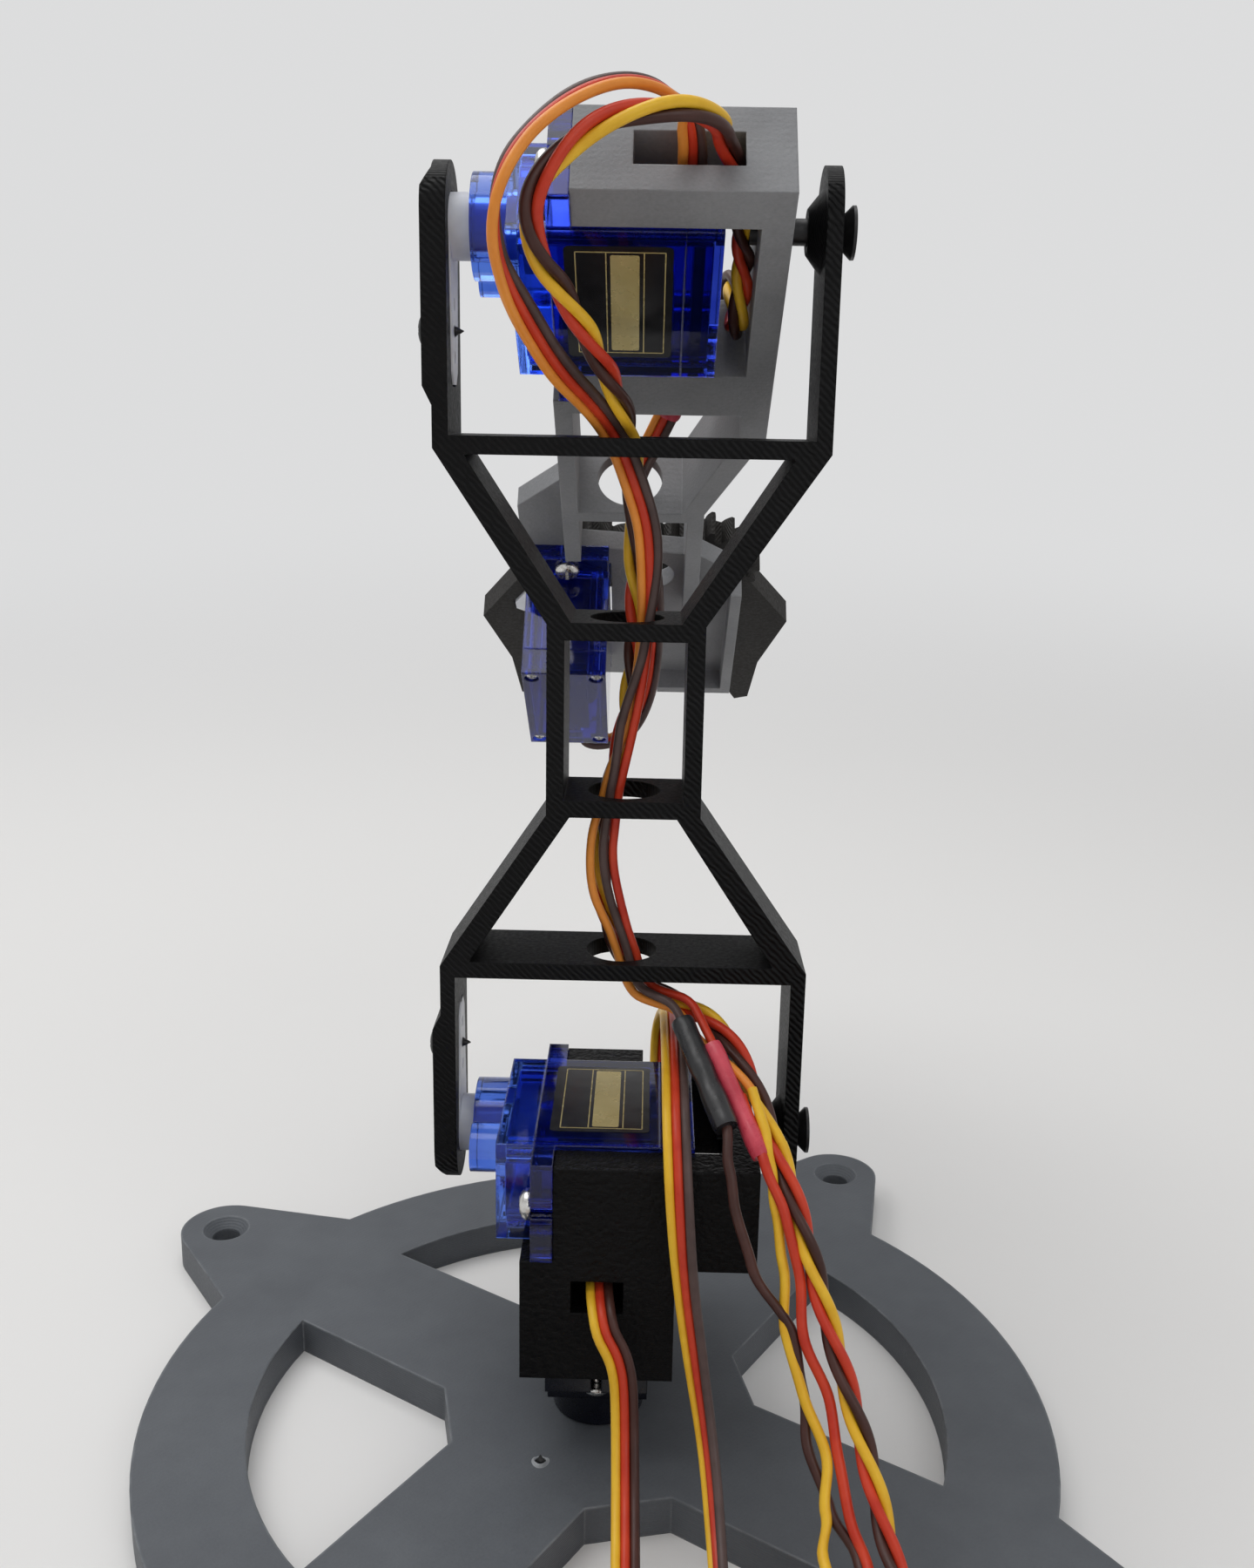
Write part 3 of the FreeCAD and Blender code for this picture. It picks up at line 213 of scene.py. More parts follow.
# moulded blues, clear over the gears and deeper round the motors, and the dark moulding of the base servo
clears = {
    "clearBlue": {"thin": (0.13, 0.27, 0.88), "thick": (0.05, 0.13, 0.7), "through": 0.97,
                  "rough": (0.02, 0.07)},
    "deepBlue": {"thin": (0.035, 0.075, 0.56), "thick": (0.014, 0.032, 0.4), "through": 0.95,
                 "rough": (0.03, 0.08)},
    "clearDark": {"thin": (0.004, 0.005, 0.012), "thick": (0.002, 0.0025, 0.006), "through": 0.0,
                  "rough": (0.2, 0.34)},
}
moulding = {"flowMm": 6.0, "hazeMm": 1.2, "ior": 1.46, "edgeMm": 0.3, "rippleMm": 2.4, "rippleDepth": 0.02,
            "ripple": 0.5}


def clearPlastic(name):
    look = clears[name]
    mat, tree, shader, spot = startMaterial(name)
    flow = speckle(tree, spot, moulding["flowMm"])
    join(tree, tones(tree, flow, look["thick"], look["thin"]), shader, "Base Color")
    join(tree, span(tree, speckle(tree, spot, moulding["hazeMm"]), *look["rough"]), shader, "Roughness")
    shader.inputs["Transmission Weight"].default_value = look["through"]
    shader.inputs["IOR"].default_value = moulding["ior"]
    soft = roundEdge(tree, moulding["edgeMm"])[0]
    waves = speckle(tree, spot, moulding["rippleMm"], 2.0)
    join(tree, bump(tree, waves, moulding["ripple"], moulding["rippleDepth"], soft), shader, "Normal")
    return mat


# nylon, wire skins, shrink tube, lacquer and other smooth finishes
def smooth(dark, light, rough, grainMm, depth=0.02, **more):
    return {"dark": dark, "light": light, "rough": rough, "grainMm": grainMm, "depth": depth, **more}


def wireSkin(dark, light, rough=(0.3, 0.44)):
    return smooth(dark, light, rough, 1.6, shine=0.3)


smooths = {
    "hornNylon": smooth((0.72, 0.74, 0.79), (0.84, 0.86, 0.9), (0.32, 0.45), 1.4, under=0.15,
                        underReach=(0.0012, 0.0012, 0.0015)),
    "wireYellow": wireSkin((0.74, 0.4, 0.018), (0.86, 0.52, 0.035)),
    "wireOrange": wireSkin((0.74, 0.235, 0.03), (0.85, 0.31, 0.05)),
    "wireRed": wireSkin((0.5, 0.03, 0.012), (0.62, 0.055, 0.02)),
    "wireBrown": wireSkin((0.042, 0.014, 0.01), (0.07, 0.026, 0.02), (0.32, 0.46)),
    "wireGrey": wireSkin((0.06, 0.036, 0.032), (0.1, 0.062, 0.056), (0.34, 0.48)),
    "shrinkBlack": smooth((0.009, 0.009, 0.01), (0.016, 0.016, 0.018), (0.24, 0.42), 1.1, depth=0.05),
    "shrinkRed": smooth((0.48, 0.03, 0.055), (0.68, 0.075, 0.11), (0.24, 0.4), 1.1, depth=0.05),
    "plugBlack": smooth((0.01, 0.01, 0.01), (0.02, 0.02, 0.02), (0.4, 0.55), 0.5),
    "boardGreen": smooth((0.012, 0.06, 0.02), (0.02, 0.13, 0.045), (0.25, 0.4), 1.5, depth=0.03),
    "sensorDark": smooth((0.03, 0.03, 0.03), (0.06, 0.06, 0.06), (0.4, 0.55), 0.6),
    "labelBlack": smooth((0.008, 0.008, 0.009), (0.014, 0.014, 0.016), (0.16, 0.26), 2.5),
    "burrPale": smooth((0.2, 0.21, 0.22), (0.4, 0.42, 0.44), (0.35, 0.5), 0.5, depth=0.06),
}
smoothing = {"cloudMm": 4.0, "band": (0.32, 0.68), "shine": 0.5, "strength": 0.6}


def smoothFinish(name):
    look = smooths[name]
    mat, tree, shader, spot = startMaterial(name)
    cloud = speckle(tree, spot, smoothing["cloudMm"])
    grain = speckle(tree, spot, look["grainMm"], 2.0)
    join(tree, tones(tree, cloud, look["dark"], look["light"], smoothing["band"]), shader, "Base Color")
    join(tree, span(tree, grain, *look["rough"]), shader, "Roughness")
    shader.inputs["Specular IOR Level"].default_value = look.get("shine", smoothing["shine"])
    if "under" in look:
        shader.inputs["Subsurface Weight"].default_value = look["under"]
        shader.inputs["Subsurface Radius"].default_value = look["underReach"]
    join(tree, bump(tree, grain, smoothing["strength"], look["depth"]), shader, "Normal")
    return mat


# metals
def metal(dark, light, rough, share=1.0, grainMm=0.8, dent=0.02):
    return {"dark": dark, "light": light, "rough": rough, "metal": share, "grainMm": grainMm, "dent": dent}


metals = {
    "brightSteel": metal((0.5, 0.49, 0.47), (0.72, 0.71, 0.69), (0.16, 0.34)),
    "blackScrew": metal((0.012, 0.012, 0.013), (0.024, 0.024, 0.025), (0.34, 0.5), share=0.4),
    "motorCan": metal((0.4, 0.4, 0.41), (0.58, 0.58, 0.6), (0.28, 0.42)),
    "labelGold": metal((0.62, 0.5, 0.2), (0.74, 0.62, 0.3), (0.24, 0.3), share=0.45, grainMm=6.0, dent=0.001),
}
metalwork = {"fineShare": 0.45, "strength": 0.4}


def metalFinish(name):
    look = metals[name]
    mat, tree, shader, spot = startMaterial(name)
    streak = speckle(tree, spot, look["grainMm"], 4.0)
    fine = speckle(tree, spot, look["grainMm"] * metalwork["fineShare"])
    join(tree, tones(tree, streak, look["dark"], look["light"]), shader, "Base Color")
    join(tree, span(tree, fine, *look["rough"]), shader, "Roughness")
    shader.inputs["Metallic"].default_value = look["metal"]
    join(tree, bump(tree, streak, metalwork["strength"], look["dent"]), shader, "Normal")
    return mat


finish = {}
for looks, build in ((prints, printedPlastic), (clears, clearPlastic), (smooths, smoothFinish),
                     (metals, metalFinish)):
    finish.update({name: build(name) for name in looks})

blueServos = ("shoulder", "elbow", "gripper")
nodeFinish = {
    "greyPrint": ["base_plate"],
    "blackPrint": ["upper_arm_frame"],
    "turretPrint": ["turret_housing"],
    "lightPrint": ["forearm_frame"],
    "fingerPrint": ["left_finger", "right_finger"],
    "clearBlue": [who + "_gear_cover" for who in blueServos],
    "deepBlue": [who + piece for who in blueServos for piece in ("_middle_case", "_bottom_cover")],
    "clearDark": ["yaw_gear_cover", "yaw_middle_case", "yaw_bottom_cover"],
    "hornNylon": [who + piece for who in ("yaw", *blueServos) for piece in ("_horn", "_output_shaft")],
    "motorCan": ["turret_servo_motors", "forearm_servo_motors"],
    "boardGreen": ["turret_control_boards", "forearm_control_boards"],
    "sensorDark": ["turret_position_sensors", "forearm_position_sensors"],
    "blackScrew": ["pivot_bolts", "arm_horn_screws", "finger_horn_screws", "finger_pivot_screw"],
    "brightSteel": ["turret_case_screws", "turret_ear_screws", "forearm_case_screws", "forearm_ear_screws",
                    "base_horn_screws"],
}
for name, members in nodeFinish.items():
    for member in members:
        nodes[member].data.materials.clear()
        nodes[member].data.materials.append(finish[name])
print("materials made:", len(finish))


# mesh helpers
def newPiece(name, mesh, *mats):
    piece = bpy.data.objects.new(name, mesh)
    bpy.context.scene.collection.objects.link(piece)
    for mat in mats:
        mesh.materials.append(mat)
    return piece


def meshFrom(bm, name):
    mesh = bpy.data.meshes.new(name)
    bm.to_mesh(mesh)
    bm.free()
    return mesh


elbow = {"place": (1.8, 8.5, 143.9), "turn": -38.0}
forearmFrame = Matrix.Translation(elbow["place"]) @ Matrix.Rotation(math.radians(elbow["turn"]), 4, "X")


def onForearm(x, along, normal):
    return tuple(forearmFrame @ Vector((x, along, normal)))


def frameOf(origin, x, y, z):
    return Matrix.Translation(origin) @ Matrix((x, y, z)).transposed().to_4x4()


# each servo's own frame in millimetres: shaft on z, long way on x, case bottom at z 0
servoFrames = {
    "yaw": frameOf((0, 0, 31.7), (0, 1, 0), (1, 0, 0), (0, 0, -1)),
    "shoulder": frameOf((10.8, 8.5, 37.9), (0, -1, 0), (0, 0, 1), (-1, 0, 0)),
    "elbow": forearmFrame @ frameOf((9.5, 0, 0), (0, 1, 0), (0, 0, -1), (-1, 0, 0)),
    "gripper": forearmFrame @ frameOf((-9.5, 80, -20.9), (0, -1, 0), (1, 0, 0), (0, 0, 1)),
}


def routeLine(points, step=0.7, fewest=8):
    curve = bpy.data.curves.new("route", "CURVE")
    curve.dimensions = "3D"
    curve.resolution_u = 12
    spline = curve.splines.new("NURBS")
    spline.points.add(len(points) - 1)
    for spot, point in zip(spline.points, points):
        spot.co = (point[0] * mm, point[1] * mm, point[2] * mm, 1)
    spline.order_u = 3
    spline.use_endpoint_u = True
    holder = bpy.data.objects.new("route", curve)
    mesh = bpy.data.meshes.new_from_object(holder)
    line = np.array([v.co for v in mesh.vertices], float)
    bpy.data.meshes.remove(mesh)
    bpy.data.objects.remove(holder)
    bpy.data.curves.remove(curve)
    along = np.concatenate([[0], np.cumsum(np.linalg.norm(np.diff(line, axis=0), axis=1))])
    at = np.linspace(0, along[-1], max(fewest, int(along[-1] / (step * mm))))
    return np.stack([np.interp(at, along, line[:, k]) for k in range(3)], 1), along[-1]


def turnsOf(count):
    return [2 * math.pi * k / count for k in range(count)]


def unit(rows):
    return rows / np.maximum(np.linalg.norm(rows, axis=1, keepdims=True), 1e-12)


def keyed(share, keys):
    # smooth values between keys given as (share of the length, numbers...)
    at = np.array([k[0] for k in keys], float)
    rows = np.array([k[1:] for k in keys], float)
    i = np.clip(np.searchsorted(at, share, side="right") - 1, 0, max(len(at) - 2, 0))
    if len(at) == 1:
        return np.repeat(rows, len(share), 0)
    t = np.clip((share - at[i]) / (at[i + 1] - at[i]), 0, 1)
    t = t * t * (3 - 2 * t)
    return rows[i] * (1 - t[:, None]) + rows[i + 1] * t[:, None]


def axesAlong(line, facing):
    share = np.linspace(0, 1, len(line))
    ahead = unit(np.gradient(line, axis=0))
    out = unit(keyed(share, facing))
    side = unit(np.cross(ahead, out))
    return share, side, np.cross(side, ahead)


def skin(bm, rings, slot=0):
    count = len(rings[0])
    for first, last in zip(rings, rings[1:]):
        for k in range(count):
            face = bm.faces.new((first[k], first[(k + 1) % count], last[(k + 1) % count], last[k]))
            face.smooth = True
            face.material_index = slot
    for ring in (rings[0][::-1], rings[-1]):
        cap = bm.faces.new(ring)
        cap.material_index = slot
        for edge in cap.edges:
            edge.smooth = False


def tubeFaces(bm, line, side, out, radius, slot, sides=14):
    rings = [[bm.verts.new(Vector(spot + r * (math.cos(t) * a + math.sin(t) * b))) for t in turnsOf(sides)]
             for spot, a, b, r in zip(line, side, out, radius)]
    skin(bm, rings, slot)


# leads: each row is one run of three wires along a route, in millimetres
coilTurns = {"middle": (-17.0, -94.0), "first": 19.0, "last": 20.6, "round": 16, "total": 20, "ramp": 2,
             "low": 0.85, "high": 2.4}


def coilPoints():
    # a turn and a quarter, clockwise from the right, the last quarter lying on the first
    spots = []
    total, ramp, (x, y) = coilTurns["total"], coilTurns["ramp"], coilTurns["middle"]
    for k in range(1, total + 1):
        turn = -2 * math.pi * k / coilTurns["round"]
        radius = coilTurns["first"] + (coilTurns["last"] - coilTurns["first"]) * (k / total)
        rise = min(1.0, max(0.0, (k - coilTurns["round"] + ramp) / ramp))
        if k > total - ramp:
            rise = (total - k) / ramp
        height = coilTurns["low"] + (coilTurns["high"] - coilTurns["low"]) * rise
        spots.append((x + radius * math.cos(turn), y + radius * math.sin(turn), height))
    return spots


still = [[(0, 0, 0, 0)]] * 3


def ribbon(*colors, radius=0.53, spacing=1.94, drifts=still):
    pitch = radius * spacing
    return [{"finish": color, "radius": radius, "base": ((1 - k) * pitch, 0.0), "drift": drift}
            for k, (color, drift) in enumerate(zip(colors, drifts))]


def twisted(*colors, radius=0.6, gap=0.7):
    return [{"finish": color, "radius": radius, "base": (gap * math.cos(t), gap * math.sin(t)),
             "drift": still[0]} for color, t in zip(colors, turnsOf(len(colors)))]


def parted(radius, **drifts):
    # wires with their own offsets from the route: share of the length, then millimetres in x, y and z
    return [{"finish": color, "radius": radius, "base": (0.0, 0.0), "drift": drift}
            for color, drift in drifts.items()]


gripperWires = twisted("wireYellow", "wireBrown", "wireRed")
# facing is the way the flat side looks and twist the number of turns, both at a share of the length
leads = {
    "yawLead": {
        "route": [(0.0, -6.0, 28.1), (0.2, -11.8, 28.0), (0.7, -15.4, 26.8), (1.2, -16.6, 25.2),
                  (2.4, -17.2, 23.4), (3.1, -17.8, 21.4), (3.4, -18.4, 19.0), (3.6, -20.2, 14.0),
                  (3.8, -25.4, 9.4), (4.0, -33.0, 7.3), (4.0, -44.0, 6.0), (3.9, -54.0, 5.8),
                  (3.9, -61.0, 4.6), (3.8, -69.0, 1.6), (3.4, -82.0, 0.85)]
        + coilPoints() + [(-26.0, -116.4, 0.9), (-32.0, -118.9, 1.0), (-39.0, -119.6, 1.3)],
        "facing": [(0, 0, -0.7, 0.7), (0.24, 0, -0.7, 0.7), (0.34, 0, 0, 1)],
        "wires": ribbon("wireYellow", "wireRed", "wireBrown"), "wide": 3.1, "lay": "coiled", "end": "plug",
        "replaces": ["yaw_lead", "yaw_lead_coil"],
        "blend": ("turret", "base", (0.4, -12.6, 27.7), (3.3, -25.4, 9.4))},
    "shoulderLead": {
        "route": [(7.2, 14.5, 37.9), (7.2, 20.0, 38.6), (7.2, 23.2, 44.5), (8.2, 18.4, 50.0),
                  (8.3, 8.0, 51.8), (8.4, -3.0, 51.2), (8.5, -12.2, 48.4), (9.0, -16.6, 41.0),
                  (9.8, -17.6, 32.6), (11.2, -19.0, 23.6), (12.8, -22.6, 15.0), (13.5, -29.0, 9.4),
                  (13.8, -38.0, 7.0), (14.2, -49.0, 6.0), (15.0, -58.0, 5.2), (16.0, -66.0, 2.2),
                  (17.0, -76.0, 1.0), (18.2, -92.0, 0.85), (18.8, -110.0, 0.85), (18.4, -127.0, 1.3)],
        "facing": [(0, 0, 0, -1), (0.05, 0, 1, 0), (0.11, 0, 0.7, 0.7), (0.18, 0, 0, 1),
                   (0.26, 0, -0.7, 0.7), (0.36, -0.5, -0.8, 0.3), (0.45, -0.85, -0.5, 0.3),
                   (0.55, -0.95, -0.2, 0.4), (0.8, 0, 0, 1)],
        "wires": ribbon("wireYellow", "wireRed", "wireGrey"), "wide": 3.1, "lay": "loose", "end": "plug",
        "replaces": ["shoulder_lead"],
        "blend": ("turret", "base", (9.0, -16.6, 41.0), (13.5, -29.0, 9.4))},
    "elbowLead": {
        "route": [onForearm(5.9, -6.0, 0.0), (7.9, -0.9, 151.1), (6.6, -4.0, 154.0), (4.2, -7.0, 155.3),
                  (0.7, -9.8, 155.3), (-3.0, -12.2, 153.8), (-6.4, -14.4, 151.1), (-9.1, -16.0, 147.9),
                  (-10.5, -16.8, 144.4), (-10.9, -16.2, 141.0), (-10.3, -13.8, 137.5), (-8.4, -9.4, 133.7),
                  (-5.6, -3.2, 128.9), (-1.9, 4.0, 125.2), (0.6, 6.9, 121.6), (2.4, 7.2, 117.0),
                  (3.9, 7.0, 112.6), (4.3, 6.9, 108.0), (4.2, 6.8, 102.6), (3.5, 6.9, 97.6),
                  (2.6, 7.0, 92.6), (2.1, 7.0, 90.0)],
        "facing": [(0, 0, -0.6, -0.8), (0.06, 0.2, -1, 0.2), (0.12, 0, -0.6, 0.8), (0.2, -0.4, -0.6, 0.7),
                   (0.3, -0.8, -0.5, 0.3), (0.4, -1, 0.1, 0.1), (0.5, -0.6, 0.7, 0.4), (0.66, 0, 0.8, 0.6),
                   (0.78, 0, 1, 0)],
        "wires": ribbon("wireGrey", "wireRed", "wireOrange", drifts=[
            [(0, 0, 0, 0), (0.8, 0, 0, 0), (0.91, -0.9, -0.95, 0), (1, -1.78, -0.45, 0)],
            [(0, 0, 0, 0), (0.8, 0, 0, 0), (1, 0.8, -0.1, 0)],
            [(0, 0, 0, 0), (0.8, 0, 0, 0), (1, 1.08, 0.85, 0)]]),
        "wide": 3.1, "lay": "hanging", "end": "object", "replaces": ["elbow_lead"],
        "blend": ("forearm", "upper_arm", (7.5, 0.0, 147.5), (0.0, 7.0, 123.0))},
    "elbowLeadLower": {
        "route": [(2.1, 7.0, 90.2), (1.3, 7.1, 85.0), (0.4, 7.2, 80.5), (-0.7, 7.4, 75.0), (-0.4, 7.5, 69.5),
                  (1.4, 7.5, 64.5), (2.6, 7.4, 61.0), (3.2, 7.0, 58.6), (4.4, 5.4, 57.3), (6.2, 3.8, 57.1),
                  (8.24, 2.28, 57.0), (9.6, -0.8, 55.2), (11.9, -4.0, 53.0), (14.2, -7.2, 50.6)],
        "facing": [(0, 0, 1, 0), (0.58, 0, 1, 0), (0.7, 0, 0.3, 1), (1, 0, 0, 1)],
        "wires": parted(
            0.53,
            wireGrey=[(0, -0.75, -0.45, 0), (0.15, -0.45, -0.5, 0), (0.28, -0.05, -0.4, 0),
                      (0.41, 0.25, -0.3, 0), (0.52, 0.2, -0.3, 0), (0.66, -0.1, -0.3, 0.4), (0.79, 0, 0, 0),
                      (1, -1.8, 0, 0.1)],
            wireRed=[(0, 0.8, -0.1, 0), (0.15, 0.55, -0.2, 0), (0.28, 1.1, 0, 0), (0.41, 1.4, 0, 0),
                     (0.52, 1.05, 0.1, 0), (0.66, 1.0, 0.5, 0.5), (0.79, 2.0, 1.0, 0.3), (1, 1.7, 0, -0.7)],
            wireOrange=[(0, 0.05, 0.85, 0), (0.15, -1.1, 0.6, 0), (0.28, -1.5, 0.1, 0), (0.41, -1.6, 0, 0),
                        (0.52, -1.2, 0.2, 0), (0.66, -0.9, 0.2, -0.6), (0.79, 0.8, 1.2, -1.2),
                        (1, 2.9, 0.4, 0)]),
        "wide": 3.1, "lay": "hanging", "end": "object", "replaces": ["elbow_lead_lower"],
        "blend": ("upper_arm", "turret", (0.8, 7.3, 58.0), (9.6, -0.8, 55.2))},
    "gripperLead": {
        "route": [onForearm(*p) for p in [
            (-9.5, 86.0, -17.3), (-9.2, 90.0, -18.0), (-5.4, 91.6, -18.6), (-0.6, 88.6, -18.0),
            (2.4, 81.0, -14.8), (3.2, 72.0, -10.4), (3.0, 62.0, -6.2), (1.2, 54.0, -2.6), (-0.2, 47.0, -0.6),
            (0.6, 42.4, -0.6), (2.36, 38.1, 0.24), (4.4, 34.2, 2.6)]],
        "facing": [(0, 0, 0, 1), (0.3, 0, -1, 0.4)],
        "wires": ribbon("wireOrange", "wireRed", "wireGrey"), "twist": [(0, 0.5)], "wide": 3.1,
        "lay": "hanging", "end": "object", "replaces": ["gripper_lead"], "ride": "forearm"},
    "gripperWiresInside": {
        "route": [onForearm(*p) for p in [
            (8.21, 26.88, 7.01), (10.0, 23.4, 8.8), (11.2, 19.2, 9.2), (11.6, 15.8, 8.6), (11.7, 14.8, 4.4),
            (11.8, 14.9, -1.4), (12.0, 10.4, -2.2), (12.1, 4.0, -0.5), (11.6, -0.6, 0.2), (11.35, -5.0, 0.2),
            (11.0, -7.3, 0.1)]],
        "facing": [(0, 1, 0, 0), (0.6, 1, 0, 0), (0.92, 0, -0.5, -0.85)],
        "wires": gripperWires, "twist": [(0, -3.2), (1, -0.5)], "wide": 2.6,
        "lay": "hanging", "end": "object", "replaces": ["gripper_wires_upper"], "ride": "forearm"},
    "gripperWiresUpper": {
        "route": [onForearm(11.02, -7.1, 0.1), onForearm(9.05, -11.8, 0.0), (10.7, -5.2, 152.1),
                  (8.3, -8.2, 152.8), (4.9, -10.4, 152.8), (0.6, -12.2, 151.7), (-2.9, -13.2, 149.9),
                  (-5.6, -14.0, 147.2), (-7.4, -14.4, 144.4), (-7.8, -14.0, 141.8), (-6.8, -12.4, 138.9),
                  (-4.3, -9.0, 135.4), (-1.6, -3.6, 130.7), (0.9, 3.6, 125.7), (2.0, 8.4, 121.2),
                  (2.2, 9.8, 116.0), (2.4, 10.0, 111.0), (2.6, 10.0, 106.0), (2.8, 10.0, 101.5),
                  (2.6, 9.9, 96.0), (2.0, 9.8, 90.0)],
        "facing": [(0, 0, -0.5, -0.85), (0.16, 0, -1, 0)],
        "wires": gripperWires, "wide": 2.6,
        "twist": [(0, -0.5), (0.13, 0.0), (0.4, 1.0), (0.7, 2.55), (0.81, 3.0), (1, 4.2)],
        "lay": "hanging", "end": "object", "replaces": ["gripper_wires_upper"],
        "blend": ("forearm", "upper_arm", (7.5, 0.0, 147.5), (0.0, 7.0, 123.0))},
    "gripperWiresMiddle": {
        "route": [(2.02, 9.8, 90.2), (0.9, 9.8, 85.0), (-0.1, 9.8, 80.0), (-0.9, 9.7, 74.5),
                  (-0.9, 9.7, 69.0), (0.2, 9.7, 64.0), (1.8, 9.6, 60.5), (3.8, 9.0, 57.4), (8.0, 7.0, 55.6),
                  (13.8, 2.2, 54.6), (17.2, -4.0, 50.8), (19.8, -10.5, 45.6)],
        "facing": [(0, 0, -1, 0), (0.5, 0, -1, 0), (0.75, 0, -0.7, 0.7), (1, 0, -0.4, 0.9)],
        "wires": gripperWires, "twist": [(0, 4.2), (1, 7.4)], "wide": 2.6,
        "lay": "hanging", "end": "object", "replaces": ["gripper_wires_middle"],
        "blend": ("upper_arm", "turret", (3.9, 8.6, 58.0), (14.4, 2.2, 54.6))},
    "elbowExtension": {
        "route": [(14.2, -7.1, 50.7), (15.6, -11.2, 47.4), (16.8, -14.0, 44.9), (18.2, -16.3, 40.4),
                  (19.8, -18.0, 34.8), (21.6, -20.6, 28.2), (23.4, -22.9, 22.8), (24.9, -26.0, 18.2),
                  (25.7, -30.0, 13.8), (27.0, -33.2, 11.0), (28.3, -42.0, 7.9), (29.3, -53.0, 6.9),
                  (30.3, -62.0, 4.2), (31.2, -71.0, 1.9), (32.0, -84.0, 1.7), (32.4, -98.0, 1.7)],
        "facing": [(0, 0, -0.7, 0.7)],
        "wires": parted(
            0.6,
            wireBrown=[(0, -1.8, 0, 0.1), (0.046, -1.5, 0.2, 0.6), (0.079, -2.4, -0.4, 0),
                       (0.124, -3.0, 0, 0), (0.176, -2.7, 0, 0), (0.239, 0, 0.2, 0), (0.291, -0.65, 0.4, 0),
                       (0.341, -1.7, 0.8, 0), (0.393, -0.5, 0.6, 0), (0.43, 0.9, 0.4, 0), (0.6, 0.8, 0.3, 0),
                       (0.85, 1.25, 0, 0)],
            wireRed=[(0, 1.7, 0, -0.7), (0.046, 2.0, 0.2, -0.7), (0.079, 1.7, 0, -0.2), (0.124, 2.35, 0, 0),
                     (0.176, 2.3, 0, 0), (0.239, 1.1, -0.5, 0), (0.291, 2.0, -0.4, 0), (0.341, 1.4, -0.7, 0),
                     (0.393, 1.4, -0.7, 0), (0.43, 1.8, -0.6, 0), (0.6, 0.3, 0, 1.2), (0.75, 0, 0, 0)],
            wireYellow=[(0, 2.9, 0.4, 0), (0.046, 2.8, 0.8, 0.2), (0.079, 2.2, 0.9, 0), (0.124, 1.4, 1.0, 0),
                        (0.176, 0.7, 0.9, 0), (0.239, -0.8, 0.3, 0), (0.291, -0.7, -0.1, 0),
                        (0.341, 0.15, -0.5, 0), (0.393, -1.05, -0.2, 0), (0.43, -2.6, 0, 0),
                        (0.6, -1.6, 0, 0), (1, -1.25, 0, 0)]),
        "wide": 3.4, "lay": "loose", "end": "plug", "replaces": ["elbow_extension"],
        "blend": ("turret", "base", (14.1, -11.0, 48.0), (27.0, -32.6, 11.2))},
    "gripperWiresLower": {
        "route": [(19.8, -10.4, 45.7), (21.0, -13.5, 43.1), (22.9, -16.8, 37.8), (24.9, -19.6, 31.2),
                  (27.2, -23.0, 24.4), (29.5, -27.6, 17.8), (31.2, -33.8, 11.6), (33.2, -43.0, 8.2),
                  (35.2, -54.0, 6.9), (37.0, -63.0, 4.0), (38.4, -72.0, 1.9), (39.8, -86.0, 1.7),
                  (41.2, -100.0, 1.7)],
        "facing": [(0, 0, -0.4, 0.9), (0.15, 0, -0.7, 0.7)],
        "wires": gripperWires, "twist": [(0, 7.4), (1, 13.5)], "wide": 2.6,
        "lay": "loose", "end": "plug", "replaces": ["gripper_wires_lower"],
        "blend": ("turret", "base", (21.0, -10.5, 45.6), (33.4, -33.8, 11.6))},
}


def makeLead(name):
    look = leads[name]
    line, length = routeLine(look["route"])
    share, side, out = axesAlong(line, look["facing"])
    turn = 2 * math.pi * np.interp(share, *zip(*look.get("twist", [(0, 0)])))
    bm = bmesh.new()
    for slot, wire in enumerate(look["wires"]):
        a = wire["base"][0] * np.cos(turn) - wire["base"][1] * np.sin(turn)
        b = wire["base"][0] * np.sin(turn) + wire["base"][1] * np.cos(turn)
        track = line + (a[:, None] * side + b[:, None] * out + keyed(share, wire["drift"])) * mm
        tubeFaces(bm, track, side, out, np.full(len(line), wire["radius"] * mm), slot)
    piece = newPiece(name, meshFrom(bm, name), *[finish[wire["finish"]] for wire in look["wires"]])
    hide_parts(*look["replaces"])
    if "ride" in look:
        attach(piece, look["ride"])
    else:
        a, b, start, end = look["blend"]
        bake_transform(piece)
    print(name, "length", round(length * 1000, 1))
    return piece, line, length


leadPieces = {name: makeLead(name) for name in leads}

# connectors on the far ends: three-way housings
plugs = {"long": 14.0, "wide": 7.8, "tall": 2.6, "bevel": 0.3, "ways": (-2.54, 0.0, 2.54),
         "pin": {"deep": 6.0, "half": 0.5}, "window": {"span": (6.0, 8.6), "half": 0.75, "floor": 0.9},
         "groove": {"from": 2.0, "short": 1.2, "half": 0.12, "floor": 1.15, "ways": (-1.27, 1.27)},
         "past": 1.0, "above": 2.0,
         "places": {"yawLead": (-39.0, -119.6, 1.35, 180.0), "shoulderLead": (18.4, -127.0, 1.35, -91.0),
                    "elbowExtension": (32.4, -98.0, 1.7, -89.0),
                    "gripperWiresLower": (41.2, -100.0, 1.7, -85.0)}}


